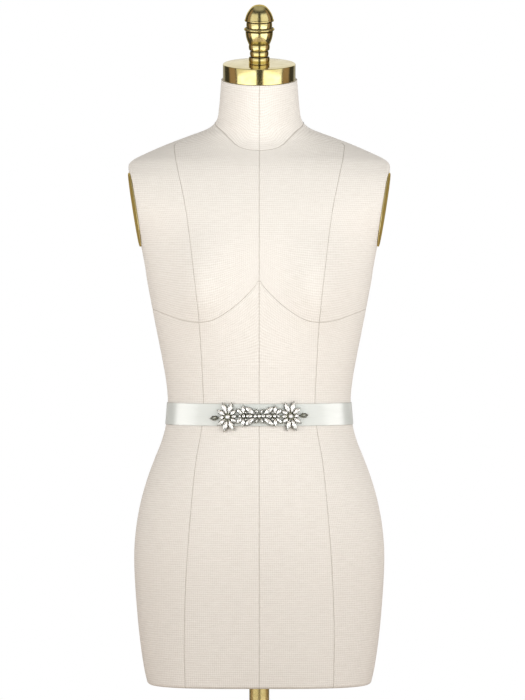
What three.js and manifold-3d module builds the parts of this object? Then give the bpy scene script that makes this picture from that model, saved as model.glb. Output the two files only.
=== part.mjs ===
// A satin ribbon sash with a crystal applique, round the waist of a limbless dress form.
// Millimetres, Z up. The form faces -Y, and the origin is on the floor under the middle of the base.

import * as THREE from 'three';
import { mergeVertices } from 'three/addons/utils/BufferGeometryUtils.js';
import Module from 'manifold-3d';

const wasm = await Module();
wasm.setup();

// Driving dimensions

// Clearance between neighbouring pieces, and how near two vertices are to be one.
const GAP = 0.3;
const MERGE_DISTANCE = 1e-4;

// Sash ribbon: its width, thickness and height above the floor, how far its front hangs lower,
// and how far its end laps over its start at the centre back.
const RIBBON_WIDTH = 29;
const RIBBON_THICK = 1;
const RIBBON_HEIGHT = 539;
const RIBBON_DIP = 1.5;
const RIBBON_LAP = 56;
const RIBBON_RAMP = 26;
const RIBBON_COLUMNS = 88;

// Applique: how far its middle hangs below the ribbon's, its metal plate, how many joint steps each
// part of the plate lies inside its thickness, and its stones.
const APPLIQUE_DROP = 1.5;
const PLATE_SEAT = 0.4;
const PLATE_THICK = 1.2;
const PLATE_RIM = 0.35;
const JOINT_STEP = 0.1;
const JOINT_DEPTHS = { boat: 0, round: 1, stem: 2, disc: 3, stalk: 4 };
const STONE_GIRDLE = 0.9;
const STONE_RISE = 2.6;
const STONE_FOOT_SHARE = 0.6;
const STONE_TABLE_SHARE = 0.52;
const STONE_SIDES = 8;

// Flower of the applique: its middle stone, and where its petals start.
const FLOWER_OUT = 40.5;
const FLOWER_STONE = 6;
const FLOWER_BACKING = 17;
const PETAL_START = 4.4;

// Sprig between the flower and the middle of the applique.
const KNOT_STEP = 5.2;
const KNOT_STONE = 4.2;
const SPRIG_OUT = 20;
const SPRIG_STONE = 4;
const STEM_WIDTH = 1.6;
const STEM_STEP = 4.5;
const STEM_REACH = 56;

// Form: hem height and rounding, columns of its surface, and the two bust mounds, which fade in
// from the sides of the form.
const HEM_HEIGHT = 181;
const HEM_ROUND = 4;
const HEM_SHARES = [0, 0.35, 1];
const FORM_COLUMNS = 36;
const BUST = { height: 697, out: 77, rise: 19, wide: 35, above: 66, below: 42, fade: 3 };

// Armhole: a plane that leans out towards the back and the top, and the oval plate on it.
const ARMHOLE = { out: 165, height: 810, back: 0.08, up: 0.16, low: 725, high: 900 };
const ARM_PLATE = { height: 99, depth: 72, thick: 2, middle: 808.5, back: -4, power: 2.2, sides: 28 };

// Neck cap and finial lean forward with the neck.
const NECK_LEAN = 14.5;
const CAP_RADIUS = 48.2;
const CAP_HEIGHT = 21;
const CAP_EDGE = 1.2;

// Stand: pole and round base. The pole's seats are a little wider than the pole.
const POLE_RADIUS = 13.3;
const POLE_SIDES = 24;
const POLE_FIT = 0.45;
const SOCKET_DEPTH = 36;
const BASE_RADIUS = 150;
const BASE_RIM = 7;
const BASE_BOSS_RADIUS = 25;
const BASE_BOSS_HEIGHT = 36;
const BASE_CHAMFER = 2;
const BASE_SLOPES = [{ h: 4, r: 90 }, { h: 8, r: 39 }];
const BASE_BOSS_FOOT = 15;
const POLE_SEAT = 10;
const ROUND_SIDES = 36;
const FINIAL_SIDES = 16;

// The form's level sections. half is half its width, front and back are how far it reaches to
// -Y and +Y, centre is where it is widest, power shapes its corners (2 is an ellipse), and slope
// is how much the section rises towards the back.
const SECTIONS = [
  { z: 181, half: 148.0, front: 95.5, back: 103, centre: 0, power: 3.2, slope: 0 },
  { z: 200, half: 152.6, front: 97.5, back: 106, centre: 0, power: 2.95, slope: 0 },
  { z: 240, half: 158.6, front: 100.5, back: 114, centre: 0, power: 2.7, slope: 0 },
  { z: 290, half: 163.4, front: 103.5, back: 124, centre: 0, power: 2.5, slope: 0 },
  { z: 335, half: 166.0, front: 106.5, back: 130, centre: 0, power: 2.4, slope: 0 },
  { z: 365, half: 165.6, front: 108, back: 128.5, centre: 0, power: 2.35, slope: 0 },
  { z: 395, half: 162.4, front: 108.5, back: 122.5, centre: 0, power: 2.3, slope: 0 },
  { z: 425, half: 156.4, front: 108, back: 113, centre: 0, power: 2.25, slope: 0 },
  { z: 455, half: 147.6, front: 105.5, back: 102.5, centre: 0, power: 2.2, slope: 0 },
  { z: 480, half: 138.2, front: 102, back: 94.5, centre: 0, power: 2.2, slope: 0 },
  { z: 500, half: 130.2, front: 98.8, back: 88.8, centre: 0, power: 2.15, slope: 0 },
  { z: 520, half: 124.6, front: 96.2, back: 84.4, centre: 0, power: 2.15, slope: 0 },
  { z: 540, half: 122.0, front: 94.8, back: 82, centre: 0, power: 2.15, slope: 0 },
  { z: 560, half: 121.7, front: 95, back: 81.2, centre: 0, power: 2.15, slope: 0 },
  { z: 585, half: 124.4, front: 97.2, back: 82, centre: 0, power: 2.15, slope: 0 },
  { z: 615, half: 129.8, front: 101, back: 84.6, centre: 0, power: 2.2, slope: 0 },
  { z: 650, half: 136.8, front: 105.6, back: 88.2, centre: 0, power: 2.25, slope: 0 },
  { z: 685, half: 143.6, front: 110, back: 92, centre: 0, power: 2.3, slope: 0 },
  { z: 720, half: 150.2, front: 111.8, back: 95, centre: 0, power: 2.3, slope: 0 },
  { z: 750, half: 156.4, front: 109.4, back: 96.8, centre: 0, power: 2.2, slope: 0 },
  { z: 770, half: 163.0, front: 105.4, back: 97.2, centre: 0, power: 2.1, slope: 0 },
  { z: 790, half: 174.0, front: 99.6, back: 96.6, centre: 1, power: 2.05, slope: 0 },
  { z: 810, half: 184.0, front: 93, back: 95, centre: 2, power: 2.05, slope: 0 },
  { z: 830, half: 188.0, front: 85, back: 92, centre: 3, power: 2, slope: 0 },
  { z: 850, half: 185.5, front: 76, back: 87.6, centre: 4, power: 1.9, slope: 0 },
  { z: 864, half: 177.5, front: 69, back: 83.6, centre: 5, power: 1.8, slope: 0.01 },
  { z: 875, half: 168.2, front: 62.8, back: 80, centre: 6, power: 1.7, slope: 0.03 },
  { z: 885, half: 148.4, front: 57.2, back: 76.2, centre: 6, power: 1.58, slope: 0.06 },
  { z: 896, half: 123.0, front: 52.4, back: 72, centre: 6, power: 1.48, slope: 0.1 },
  { z: 907, half: 94.0, front: 49.4, back: 67.8, centre: 6, power: 1.45, slope: 0.14 },
  { z: 917, half: 67.8, front: 48.6, back: 64, centre: 6, power: 1.68, slope: 0.17 },
  { z: 928, half: 56.8, front: 49.4, back: 59.4, centre: 5, power: 1.95, slope: 0.2 },
  { z: 942, half: 53.8, front: 50.8, back: 53.4, centre: 1.4, power: 2, slope: 0.23 },
  { z: 960, half: 52.0, front: 53.8, back: 47, centre: -3.4, power: 2, slope: 0.25 },
  { z: 981, half: 50.4, front: 57.5, back: 40.1, centre: -8.7, power: 2, slope: 0.2586 },
];

// Heights at which the form's rings lie: closer together where its outline turns.
const RING_STRETCHES = [
  { from: 186, to: 490, step: 25 },
  { from: 500, to: 580, step: 10 },
  { from: 597, to: 773, step: 18 },
  { from: 786, to: 858, step: 14 },
  { from: 866, to: 932, step: 6.6 },
  { from: 945, to: 981, step: 12 },
];

// Petals of a flower by their turn from the outward one, on both sides of it.
const PETALS = [
  { turn: 0, length: 7.2, width: 3.8 },
  { turn: 36, length: 12, width: 5.4 },
  { turn: 72, length: 15, width: 5.8 },
  { turn: 108, length: 14.5, width: 5.8 },
  { turn: 144, length: 9, width: 4.6 },
  { turn: 180, length: 7.2, width: 3.8 },
];
const END_STONE = { start: 13.1, length: 10.4, width: 5.6 };

// Leaves of a sprig: out is where the leaf's stalk stands on the stem, start is the stalk's length.
const LEAVES = [
  { name: 'loop', out: 3, turn: 38, start: 4.1, length: 15, width: 6.4 },
  { name: 'back_leaf', out: 20, turn: 86, start: 2.9, length: 10.8, width: 4.4 },
  { name: 'fore_leaf', out: 20, turn: 46, start: 2.9, length: 10.2, width: 4.2 },
];
const MIDDLE_LEAF = { start: 8, length: 9.2, width: 4.2 };
const SEED_STONE = { out: 24.8, width: 3.2 };
// Small round stones that fill the places between the leaves, above and below the stem.
const BUDS = { out: 17, up: 4.5, width: 2.8 };

// The two halves of the applique differ a little, as hand-laid ones do.
const HALVES = [
  { name: 'left', side: -1, drop: 1.2, turn: -5 },
  { name: 'right', side: 1, drop: 0.2, turn: 3 },
];

// Finial outline: height above the cap and radius.
const FINIAL = [
  { h: 0, r: 13.4 }, { h: 5, r: 13.7 }, { h: 9, r: 13.5 }, { h: 12.6, r: 12.4 },
  { h: 14, r: 13.2 }, { h: 18, r: 10.9 }, { h: 21, r: 10.5 }, { h: 22, r: 12.9 },
  { h: 30, r: 13.5 }, { h: 36, r: 16.4 }, { h: 42.6, r: 18.3 }, { h: 45, r: 20.2 },
  { h: 48, r: 17.8 }, { h: 54, r: 17.6 }, { h: 57, r: 19.3 }, { h: 60, r: 17.9 },
  { h: 66, r: 16.4 }, { h: 72, r: 13.1 }, { h: 76.5, r: 8.8 }, { h: 78.5, r: 5 },
];
const FINIAL_TOP = 78.5;

// Colours and finishes
const LINEN = new THREE.MeshStandardMaterial({ color: 0xf0e8da, roughness: 0.95, metalness: 0 });
const SATIN = new THREE.MeshStandardMaterial({ color: 0xf2f2ea, roughness: 0.35, metalness: 0 });
const BRASS = new THREE.MeshStandardMaterial({ color: 0xb8963f, roughness: 0.25, metalness: 1 });
const SILVER = new THREE.MeshStandardMaterial({ color: 0xcfcab4, roughness: 0.2, metalness: 1 });
const CRYSTAL = new THREE.MeshStandardMaterial({ color: 0xf4f4f0, roughness: 0.05, metalness: 0 });

const model = new THREE.Group();

function add(name, geometry, material) {
  const mesh = new THREE.Mesh(geometry, material);
  mesh.name = name;
  model.add(mesh);
}

// Solids from rings

function closedGeometry(points, triangles) {
  const geometry = new THREE.BufferGeometry();
  geometry.setAttribute('position', new THREE.Float32BufferAttribute(points.flat(), 3));
  geometry.setIndex(triangles.flat());
  return geometry;
}

function middleOf(ring) {
  const sum = ring.reduce((s, p) => [s[0] + p[0], s[1] + p[1], s[2] + p[2]], [0, 0, 0]);
  return sum.map((value) => value / ring.length);
}

// A closed body through rings of equal counts, each anticlockwise seen from the last one's side.
function loft(rings) {
  const count = rings[0].length;
  const points = rings.flat();
  const foot = points.push(middleOf(rings[0])) - 1;
  const head = points.push(middleOf(rings[rings.length - 1])) - 1;
  const last = (rings.length - 1) * count;
  const triangles = [];
  for (let k = 0; k < count; k += 1) {
    const next = (k + 1) % count;
    triangles.push([foot, next, k], [head, last + k, last + next]);
    for (let low = 0; low < last; low += count) {
      const high = low + count;
      triangles.push([low + k, low + next, high + next], [low + k, high + next, high + k]);
    }
  }
  return closedGeometry(points, triangles);
}

function toSolid(geometry) {
  const bare = geometry.clone();
  bare.deleteAttribute('normal');
  bare.deleteAttribute('uv');
  const merged = mergeVertices(bare, MERGE_DISTANCE);
  const mesh = new wasm.Mesh({
    numProp: 3,
    vertProperties: new Float32Array(merged.attributes.position.array),
    triVerts: new Uint32Array(merged.index.array),
  });
  return new wasm.Manifold(mesh);
}

function toGeometry(solid) {
  const mesh = solid.getMesh();
  const geometry = new THREE.BufferGeometry();
  geometry.setAttribute('position', new THREE.BufferAttribute(mesh.vertProperties, 3));
  geometry.setIndex(new THREE.BufferAttribute(mesh.triVerts, 1));
  return geometry;
}

// Surface of the form

// A column of the section table at height z, on a smooth curve through its rows.
function sectionValue(column, z) {
  const top = SECTIONS.length - 1;
  let i = SECTIONS.findIndex((row) => row.z > z) - 1;
  if (i < 0) {
    i = z < SECTIONS[0].z ? 0 : top - 1;
  }
  const steepness = (k) => {
    const low = SECTIONS[Math.max(k - 1, 0)];
    const high = SECTIONS[Math.min(k + 1, top)];
    return (high[column] - low[column]) / (high.z - low.z);
  };
  const span = SECTIONS[i + 1].z - SECTIONS[i].z;
  const f = (z - SECTIONS[i].z) / span;
  const start = SECTIONS[i][column];
  const end = SECTIONS[i + 1][column];
  const eased = f * f * (3 - 2 * f);
  const leaving = f * (1 - f) * (1 - f) * span * steepness(i);
  const arriving = f * f * (1 - f) * span * steepness(i + 1);
  return start + (end - start) * eased + leaving - arriving;
}

// How far the bust stands forward of the plain section at x and height z.
function bustRise(x, z) {
  const reach = z > BUST.height ? BUST.above : BUST.below;
  const aside = (Math.abs(x) - BUST.out) / BUST.wide;
  const away = (z - BUST.height) / reach;
  return BUST.rise * Math.exp(-aside * aside - away * away);
}

// A point of the form at height z and angle t, which runs from +X through +Y.
function formPoint(t, z) {
  const value = (column) => sectionValue(column, z);
  const power = value('power');
  const cos = Math.cos(t);
  const sin = Math.sin(t);
  const scale = (Math.abs(cos) ** power + Math.abs(sin) ** power) ** (-1 / power);
  const x = value('half') * cos * scale;
  const centre = value('centre');
  const reach = sin < 0 ? value('front') + centre : value('back') - centre;
  let y = reach * sin * scale;
  if (sin < 0) {
    y -= bustRise(x, z) * Math.min(1, -BUST.fade * sin);
  }
  return [x, centre + y, z + value('slope') * y];
}

function formRing(z, inset) {
  const ring = [];
  for (let k = 0; k < FORM_COLUMNS; k += 1) {
    const [x, y, height] = formPoint((2 * Math.PI * k) / FORM_COLUMNS, z);
    const share = 1 - inset / Math.hypot(x, y);
    ring.push([x * share, y * share, height]);
  }
  return ring;
}

function stretchHeights({ from, to, step }) {
  const count = Math.round((to - from) / step);
  return Array.from({ length: count + 1 }, (_, k) => from + ((to - from) * k) / count);
}

// Armhole planes: side is -1 or 1, and the plane's own axes are out of it, across it and up it.
function armholeFrame(side) {
  const out = new THREE.Vector3(side, -ARMHOLE.back, -ARMHOLE.up).normalize();
  const across = new THREE.Vector3(0, 0, 1).cross(out).normalize();
  const up = out.clone().cross(across);
  const frame = new THREE.Matrix4().makeBasis(out, across, up);
  frame.setPosition(side * ARMHOLE.out, 0, ARMHOLE.height);
  return frame;
}

function armholeCutter(side) {
  const deep = ARMHOLE.high - ARMHOLE.low;
  const wide = 2 * ARMHOLE.out;
  const tall = ARMHOLE.high - ARMHOLE.low;
  const box = new THREE.BoxGeometry(deep, wide, tall);
  box.translate(deep / 2, 0, (ARMHOLE.high + ARMHOLE.low) / 2 - ARMHOLE.height);
  return box.applyMatrix4(armholeFrame(side));
}

// An upright pole, or the bore that it leaves, of the given radius between two heights.
function bore(radius, low, high) {
  const cylinder = new THREE.CylinderGeometry(radius, radius, high - low, POLE_SIDES);
  cylinder.rotateX(Math.PI / 2);
  return cylinder.translate(0, 0, (low + high) / 2);
}

function makeForm() {
  const rings = [];
  for (const share of HEM_SHARES) {
    const inset = HEM_ROUND * (1 - Math.sqrt(1 - (1 - share) ** 2));
    rings.push(formRing(HEM_HEIGHT + HEM_ROUND * share, inset));
  }
  for (const z of RING_STRETCHES.flatMap(stretchHeights).slice(1)) {
    rings.push(formRing(z, 0));
  }
  const boreTop = HEM_HEIGHT + SOCKET_DEPTH + GAP;
  const body = toSolid(loft(rings))
    .subtract(toSolid(armholeCutter(-1)))
    .subtract(toSolid(armholeCutter(1)))
    .subtract(toSolid(bore(POLE_RADIUS + POLE_FIT, HEM_HEIGHT - HEM_ROUND, boreTop)));
  add('form_torso', toGeometry(body), LINEN);
}

// Brass plates that close the armholes
function makeArmPlates() {
  for (const side of [-1, 1]) {
    const rings = [];
    for (const depth of [GAP, GAP + ARM_PLATE.thick]) {
      const ring = [];
      for (let k = 0; k < ARM_PLATE.sides; k += 1) {
        const t = (2 * Math.PI * k) / ARM_PLATE.sides;
        const cos = Math.cos(t);
        const sin = Math.sin(t);
        const scale = (Math.abs(cos) ** ARM_PLATE.power + Math.abs(sin) ** ARM_PLATE.power)
          ** (-1 / ARM_PLATE.power);
        const across = side * ARM_PLATE.back + (ARM_PLATE.depth / 2) * cos * scale;
        const up = ARM_PLATE.middle - ARMHOLE.height + (ARM_PLATE.height / 2) * sin * scale;
        const point = new THREE.Vector3(depth, across, up).applyMatrix4(armholeFrame(side));
        ring.push(point.toArray());
      }
      rings.push(ring);
    }
    add(side < 0 ? 'armhole_plate_left' : 'armhole_plate_right', loft(rings), BRASS);
  }
}

// Neck cap and turned finial, both square to the leaning neck
function onNeck(geometry, rise) {
  const top = SECTIONS[SECTIONS.length - 1];
  geometry.rotateX(Math.PI / 2);
  geometry.translate(0, 0, rise);
  geometry.rotateX(THREE.MathUtils.degToRad(NECK_LEAN));
  return geometry.translate(0, top.centre, top.z);
}

function makeNeckCap() {
  const outline = [
    new THREE.Vector2(0, 0),
    new THREE.Vector2(CAP_RADIUS, 0),
    new THREE.Vector2(CAP_RADIUS, CAP_HEIGHT - CAP_EDGE),
    new THREE.Vector2(CAP_RADIUS - CAP_EDGE, CAP_HEIGHT),
    new THREE.Vector2(0, CAP_HEIGHT),
  ];
  add('neck_cap', onNeck(new THREE.LatheGeometry(outline, ROUND_SIDES), GAP), BRASS);
}

function makeFinial() {
  const outline = [new THREE.Vector2(0, 0)];
  for (const { h, r } of FINIAL) {
    outline.push(new THREE.Vector2(r, h));
  }
  outline.push(new THREE.Vector2(0, FINIAL_TOP));
  add('finial', onNeck(new THREE.LatheGeometry(outline, FINIAL_SIDES), CAP_HEIGHT + 2 * GAP), BRASS);
}

// Pole and round base
function makeStand() {
  const top = HEM_HEIGHT + SOCKET_DEPTH;
  add('pole', bore(POLE_RADIUS, POLE_SEAT + GAP, top), BRASS);
  const seat = POLE_RADIUS + POLE_FIT;
  const boss = BASE_BOSS_RADIUS - BASE_CHAMFER;
  const outline = [
    [0, 0], [BASE_RADIUS, 0], [BASE_RADIUS, BASE_RIM - BASE_CHAMFER],
    [BASE_RADIUS - BASE_CHAMFER, BASE_RIM],
    ...BASE_SLOPES.map(({ h, r }) => [r, BASE_RIM + h]),
    [BASE_BOSS_RADIUS, BASE_RIM + BASE_BOSS_FOOT], [boss, BASE_BOSS_HEIGHT - BASE_CHAMFER],
    [boss - BASE_CHAMFER, BASE_BOSS_HEIGHT], [seat, BASE_BOSS_HEIGHT], [seat, POLE_SEAT],
    [0, POLE_SEAT],
  ];
  const points = outline.map(([r, h]) => new THREE.Vector2(r, h));
  const base = new THREE.LatheGeometry(points, ROUND_SIDES);
  add('base', base.rotateX(Math.PI / 2), BRASS);
}

// Sash ribbon

const FRONT = -Math.PI / 2;
const BACK = Math.PI / 2;

// A point beside the ribbon at angle t: side is -1 at its lower edge and 1 at its upper edge, and
// off is the distance out from the form. The ribbon is straight between its edges.
function ribbonEdge(t, side, off) {
  const dip = RIBBON_DIP * (0.5 - 0.5 * Math.sin(t));
  const z = RIBBON_HEIGHT - dip + (side * RIBBON_WIDTH) / 2;
  const step = 0.01;
  const [x0, y0] = formPoint(t - step, z);
  const [x1, y1] = formPoint(t + step, z);
  const long = Math.hypot(x1 - x0, y1 - y0);
  const [x, y] = formPoint(t, z);
  return [x + ((y1 - y0) / long) * off, y - ((x1 - x0) / long) * off, z];
}

// Length of a radian of the ribbon at the centre back, for turning its lap into angles.
function backRadius() {
  const step = 0.05;
  const a = ribbonEdge(BACK - step, 0, GAP);
  const b = ribbonEdge(BACK + step, 0, GAP);
  return Math.hypot(a[0] - b[0], a[1] - b[1]) / (2 * step);
}

// The ribbon runs once round from under its own end, which lies a wall and a gap further out.
function makeRibbon() {
  const lap = RIBBON_LAP / backRadius();
  const ramp = RIBBON_RAMP / backRadius();
  const start = BACK - lap / 2;
  const turn = 2 * Math.PI + lap;
  const rings = [];
  for (let k = 0; k <= RIBBON_COLUMNS; k += 1) {
    const along = (turn * k) / RIBBON_COLUMNS;
    const share = THREE.MathUtils.smoothstep(along, 2 * Math.PI - ramp, 2 * Math.PI);
    const inner = GAP + share * (RIBBON_THICK + GAP);
    const outer = inner + RIBBON_THICK;
    const t = start + along;
    rings.push([
      ribbonEdge(t, -1, inner), ribbonEdge(t, 1, inner),
      ribbonEdge(t, 1, outer), ribbonEdge(t, -1, outer),
    ]);
  }
  add('sash_band', loft(rings), SATIN);
}

// Applique

// Angles and lengths along the ribbon's face, measured from the centre front.
const ARC = [{ t: FRONT, u: 0 }];
const ARC_STEP = 0.02;
const ARC_REACH = 90;
const RIBBON_FACE = GAP + RIBBON_THICK;
for (let t = FRONT; ARC[ARC.length - 1].u < ARC_REACH; t += ARC_STEP) {
  const a = ribbonEdge(t, 0, RIBBON_FACE);
  const b = ribbonEdge(t + ARC_STEP, 0, RIBBON_FACE);
  const u = ARC[ARC.length - 1].u + Math.hypot(a[0] - b[0], a[1] - b[1]);
  ARC.push({ t: t + ARC_STEP, u });
}

function angleAt(u) {
  const i = ARC.findIndex((row) => row.u > Math.abs(u)) - 1;
  const share = (Math.abs(u) - ARC[i].u) / (ARC[i + 1].u - ARC[i].u);
  return FRONT + Math.sign(u) * (ARC[i].t - FRONT + share * ARC_STEP);
}

// A point u along the ribbon from the centre front, v up its face from its middle, w out of it.
function onRibbon(u, v, w) {
  const t = angleAt(u);
  const low = new THREE.Vector3(...ribbonEdge(t, -1, RIBBON_FACE));
  const high = new THREE.Vector3(...ribbonEdge(t, 1, RIBBON_FACE));
  const before = new THREE.Vector3(...ribbonEdge(t - ARC_STEP, 0, RIBBON_FACE));
  const after = new THREE.Vector3(...ribbonEdge(t + ARC_STEP, 0, RIBBON_FACE));
  const up = high.clone().sub(low).normalize();
  const out = after.sub(before).cross(up).normalize();
  const middle = low.add(high).multiplyScalar(0.5);
  return middle.addScaledVector(up, v).addScaledVector(out, w).toArray();
}

// Outline of a stone or its plate about (u, v), turned by angle; point is 1 for a boat-shaped
// stone and 0 for a round one.
function stoneOutline({ u, v, angle, length, width, point }, share, grow, w) {
  const ring = [];
  for (let k = 0; k < STONE_SIDES; k += 1) {
    const phase = (2 * Math.PI * k) / STONE_SIDES;
    const sin = Math.sin(phase);
    const along = (share * length / 2 + grow * (1 + point)) * Math.cos(phase);
    const across = (share * width / 2 + grow) * sin * Math.abs(sin) ** point;
    const turned = [
      along * Math.cos(angle) - across * Math.sin(angle),
      along * Math.sin(angle) + across * Math.cos(angle),
    ];
    ring.push(onRibbon(u + turned[0], v + turned[1] - APPLIQUE_DROP, w));
  }
  return ring;
}

// A boat-shaped stone that starts at a distance from (u, v) and points away from it.
function rayStone(name, [u, v], angle, { start, length, width }) {
  const reach = start + length / 2;
  return {
    name, angle, length, width, point: 1,
    u: u + reach * Math.cos(angle), v: v + reach * Math.sin(angle),
  };
}

function roundStone(name, [u, v], width) {
  return { name, u, v, width, length: width, angle: 0, point: 0 };
}

// The stones of one half, from its flower to the middle of the applique.
function halfStones({ name, side, drop, turn }) {
  const toAngle = (degrees) => {
    const angle = THREE.MathUtils.degToRad(degrees);
    return side > 0 ? angle : Math.PI - angle;
  };
  const flower = [side * FLOWER_OUT, -drop];
  const stones = [roundStone(`stone_${name}_flower`, flower, FLOWER_STONE)];
  for (const petal of PETALS) {
    const signs = petal.turn % 180 === 0 ? [1] : [1, -1];
    for (const sign of signs) {
      const place = sign > 0 ? 'upper' : 'lower';
      const ray = { ...petal, start: PETAL_START };
      const angle = toAngle(sign * petal.turn + turn);
      stones.push(rayStone(`stone_${name}_petal_${place}_${petal.turn}`, flower, angle, ray));
    }
  }
  stones.push(rayStone(`stone_${name}_end`, flower, toAngle(turn), END_STONE));
  for (const leaf of LEAVES) {
    for (const sign of [1, -1]) {
      const label = `stone_${name}_${leaf.name}_${sign > 0 ? 'upper' : 'lower'}`;
      stones.push(rayStone(label, [side * leaf.out, 0], toAngle(sign * leaf.turn), leaf));
    }
  }
  stones.push(rayStone(`stone_${name}_middle_leaf`, [0, 0], toAngle(0), MIDDLE_LEAF));
  stones.push(roundStone(`stone_${name}_bud_upper`, [side * BUDS.out, BUDS.up], BUDS.width));
  stones.push(roundStone(`stone_${name}_bud_lower`, [side * BUDS.out, -BUDS.up], BUDS.width));
  stones.push(roundStone(`stone_${name}_sprig`, [side * SPRIG_OUT, 0], SPRIG_STONE));
  stones.push(roundStone(`stone_${name}_seed`, [side * SEED_STONE.out, 0], SEED_STONE.width));
  stones.push(roundStone(`stone_${name}_knot`, [side * KNOT_STEP, 0], KNOT_STONE));
  return stones;
}

// The thin stem that runs behind the stones of both halves, from one end stone to the other.
function makeStem() {
  const rings = [];
  const steps = Math.round((2 * STEM_REACH) / STEM_STEP);
  for (let k = 0; k <= steps; k += 1) {
    const u = STEM_REACH * ((2 * k) / steps - 1);
    const { drop, turn } = HALVES[u < 0 ? 0 : 1];
    const fall = drop * Math.min(Math.max((Math.abs(u) - SPRIG_OUT) / (FLOWER_OUT - SPRIG_OUT), 0), 1);
    const past = Math.max(Math.abs(u) - FLOWER_OUT, 0);
    const v = past * Math.tan(THREE.MathUtils.degToRad(turn)) - fall - APPLIQUE_DROP;
    const [low, high] = plateLevels(JOINT_DEPTHS.stem);
    const half = STEM_WIDTH / 2;
    rings.push([
      onRibbon(u, v - half, low), onRibbon(u, v + half, low),
      onRibbon(u, v + half, high), onRibbon(u, v - half, high),
    ]);
  }
  return loft(rings);
}

// Lower and upper level of the setting's metal. A piece that joins others lies some steps inside
// their thickness.
function plateLevels(steps) {
  const inset = steps * JOINT_STEP;
  return [PLATE_SEAT + inset, PLATE_SEAT + PLATE_THICK - inset];
}

// The setting: a plate under each stone, a disc behind each flower, a stalk to each bud, and the stem.
function makeSetting(stones) {
  const plates = stones.map((stone) => {
    const levels = plateLevels(stone.point > 0 ? JOINT_DEPTHS.boat : JOINT_DEPTHS.round);
    return loft(levels.map((w) => stoneOutline(stone, 1, PLATE_RIM, w)));
  });
  const discs = HALVES.map(({ side, drop }) => {
    const disc = roundStone('', [side * FLOWER_OUT, -drop], FLOWER_BACKING);
    return loft(plateLevels(JOINT_DEPTHS.disc).map((w) => stoneOutline(disc, 1, 0, w)));
  });
  const stalks = HALVES.flatMap(({ side }) => [1, -1].map((sign) => {
    const ray = { start: 0, length: BUDS.up, width: STEM_WIDTH };
    const stalk = rayStone('', [side * BUDS.out, 0], (sign * Math.PI) / 2, ray);
    return loft(plateLevels(JOINT_DEPTHS.stalk).map((w) => stoneOutline(stalk, 1, 0, w)));
  }));
  const pieces = [...plates, ...discs, ...stalks, makeStem()].map(toSolid);
  add('applique_setting', toGeometry(pieces.reduce((sum, piece) => sum.add(piece))), SILVER);
}

function makeStone(stone) {
  const foot = PLATE_SEAT + PLATE_THICK + GAP;
  const rings = [
    stoneOutline(stone, STONE_FOOT_SHARE, 0, foot),
    stoneOutline(stone, 1, 0, foot + STONE_GIRDLE),
    stoneOutline(stone, STONE_TABLE_SHARE, 0, foot + STONE_RISE),
  ];
  add(stone.name, loft(rings), CRYSTAL);
}

function makeApplique() {
  const stones = [
    roundStone('stone_knot', [0, 0], KNOT_STONE),
    ...HALVES.flatMap(halfStones),
  ];
  makeSetting(stones);
  stones.forEach(makeStone);
}

makeForm();
makeArmPlates();
makeNeckCap();
makeFinial();
makeStand();
makeRibbon();
makeApplique();

export default model;
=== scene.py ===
"""Looks of a satin ribbon sash with a crystal applique, round the waist of a limbless dress form.

The form faces -Y. Sizes are in millimetres up to the point where a mesh is made in metres.
"""
import math

import bpy
import numpy as np
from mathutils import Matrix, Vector


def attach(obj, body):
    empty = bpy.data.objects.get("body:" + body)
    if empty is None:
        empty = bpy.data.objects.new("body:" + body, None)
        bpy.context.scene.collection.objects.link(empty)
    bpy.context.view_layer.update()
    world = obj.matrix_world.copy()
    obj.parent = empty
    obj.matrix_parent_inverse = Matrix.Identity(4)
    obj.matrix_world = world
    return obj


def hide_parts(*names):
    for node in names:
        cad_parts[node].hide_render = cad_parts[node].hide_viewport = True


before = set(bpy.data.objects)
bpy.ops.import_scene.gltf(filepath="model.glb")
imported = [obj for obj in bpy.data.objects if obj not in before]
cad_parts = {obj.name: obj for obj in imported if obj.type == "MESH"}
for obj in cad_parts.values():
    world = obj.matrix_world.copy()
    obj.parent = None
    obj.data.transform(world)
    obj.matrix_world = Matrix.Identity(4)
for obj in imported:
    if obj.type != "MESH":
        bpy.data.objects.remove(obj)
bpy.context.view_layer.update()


# Body of the dress form: a hard padded shell that stands on a pole, covered in plain linen.
# Eight linen panels are seamed at the centre front and back, the princess lines and the sides,
# with cross seams under the bust and round the neck, and the cover is drawn tight over it.

MM = 0.001

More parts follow.
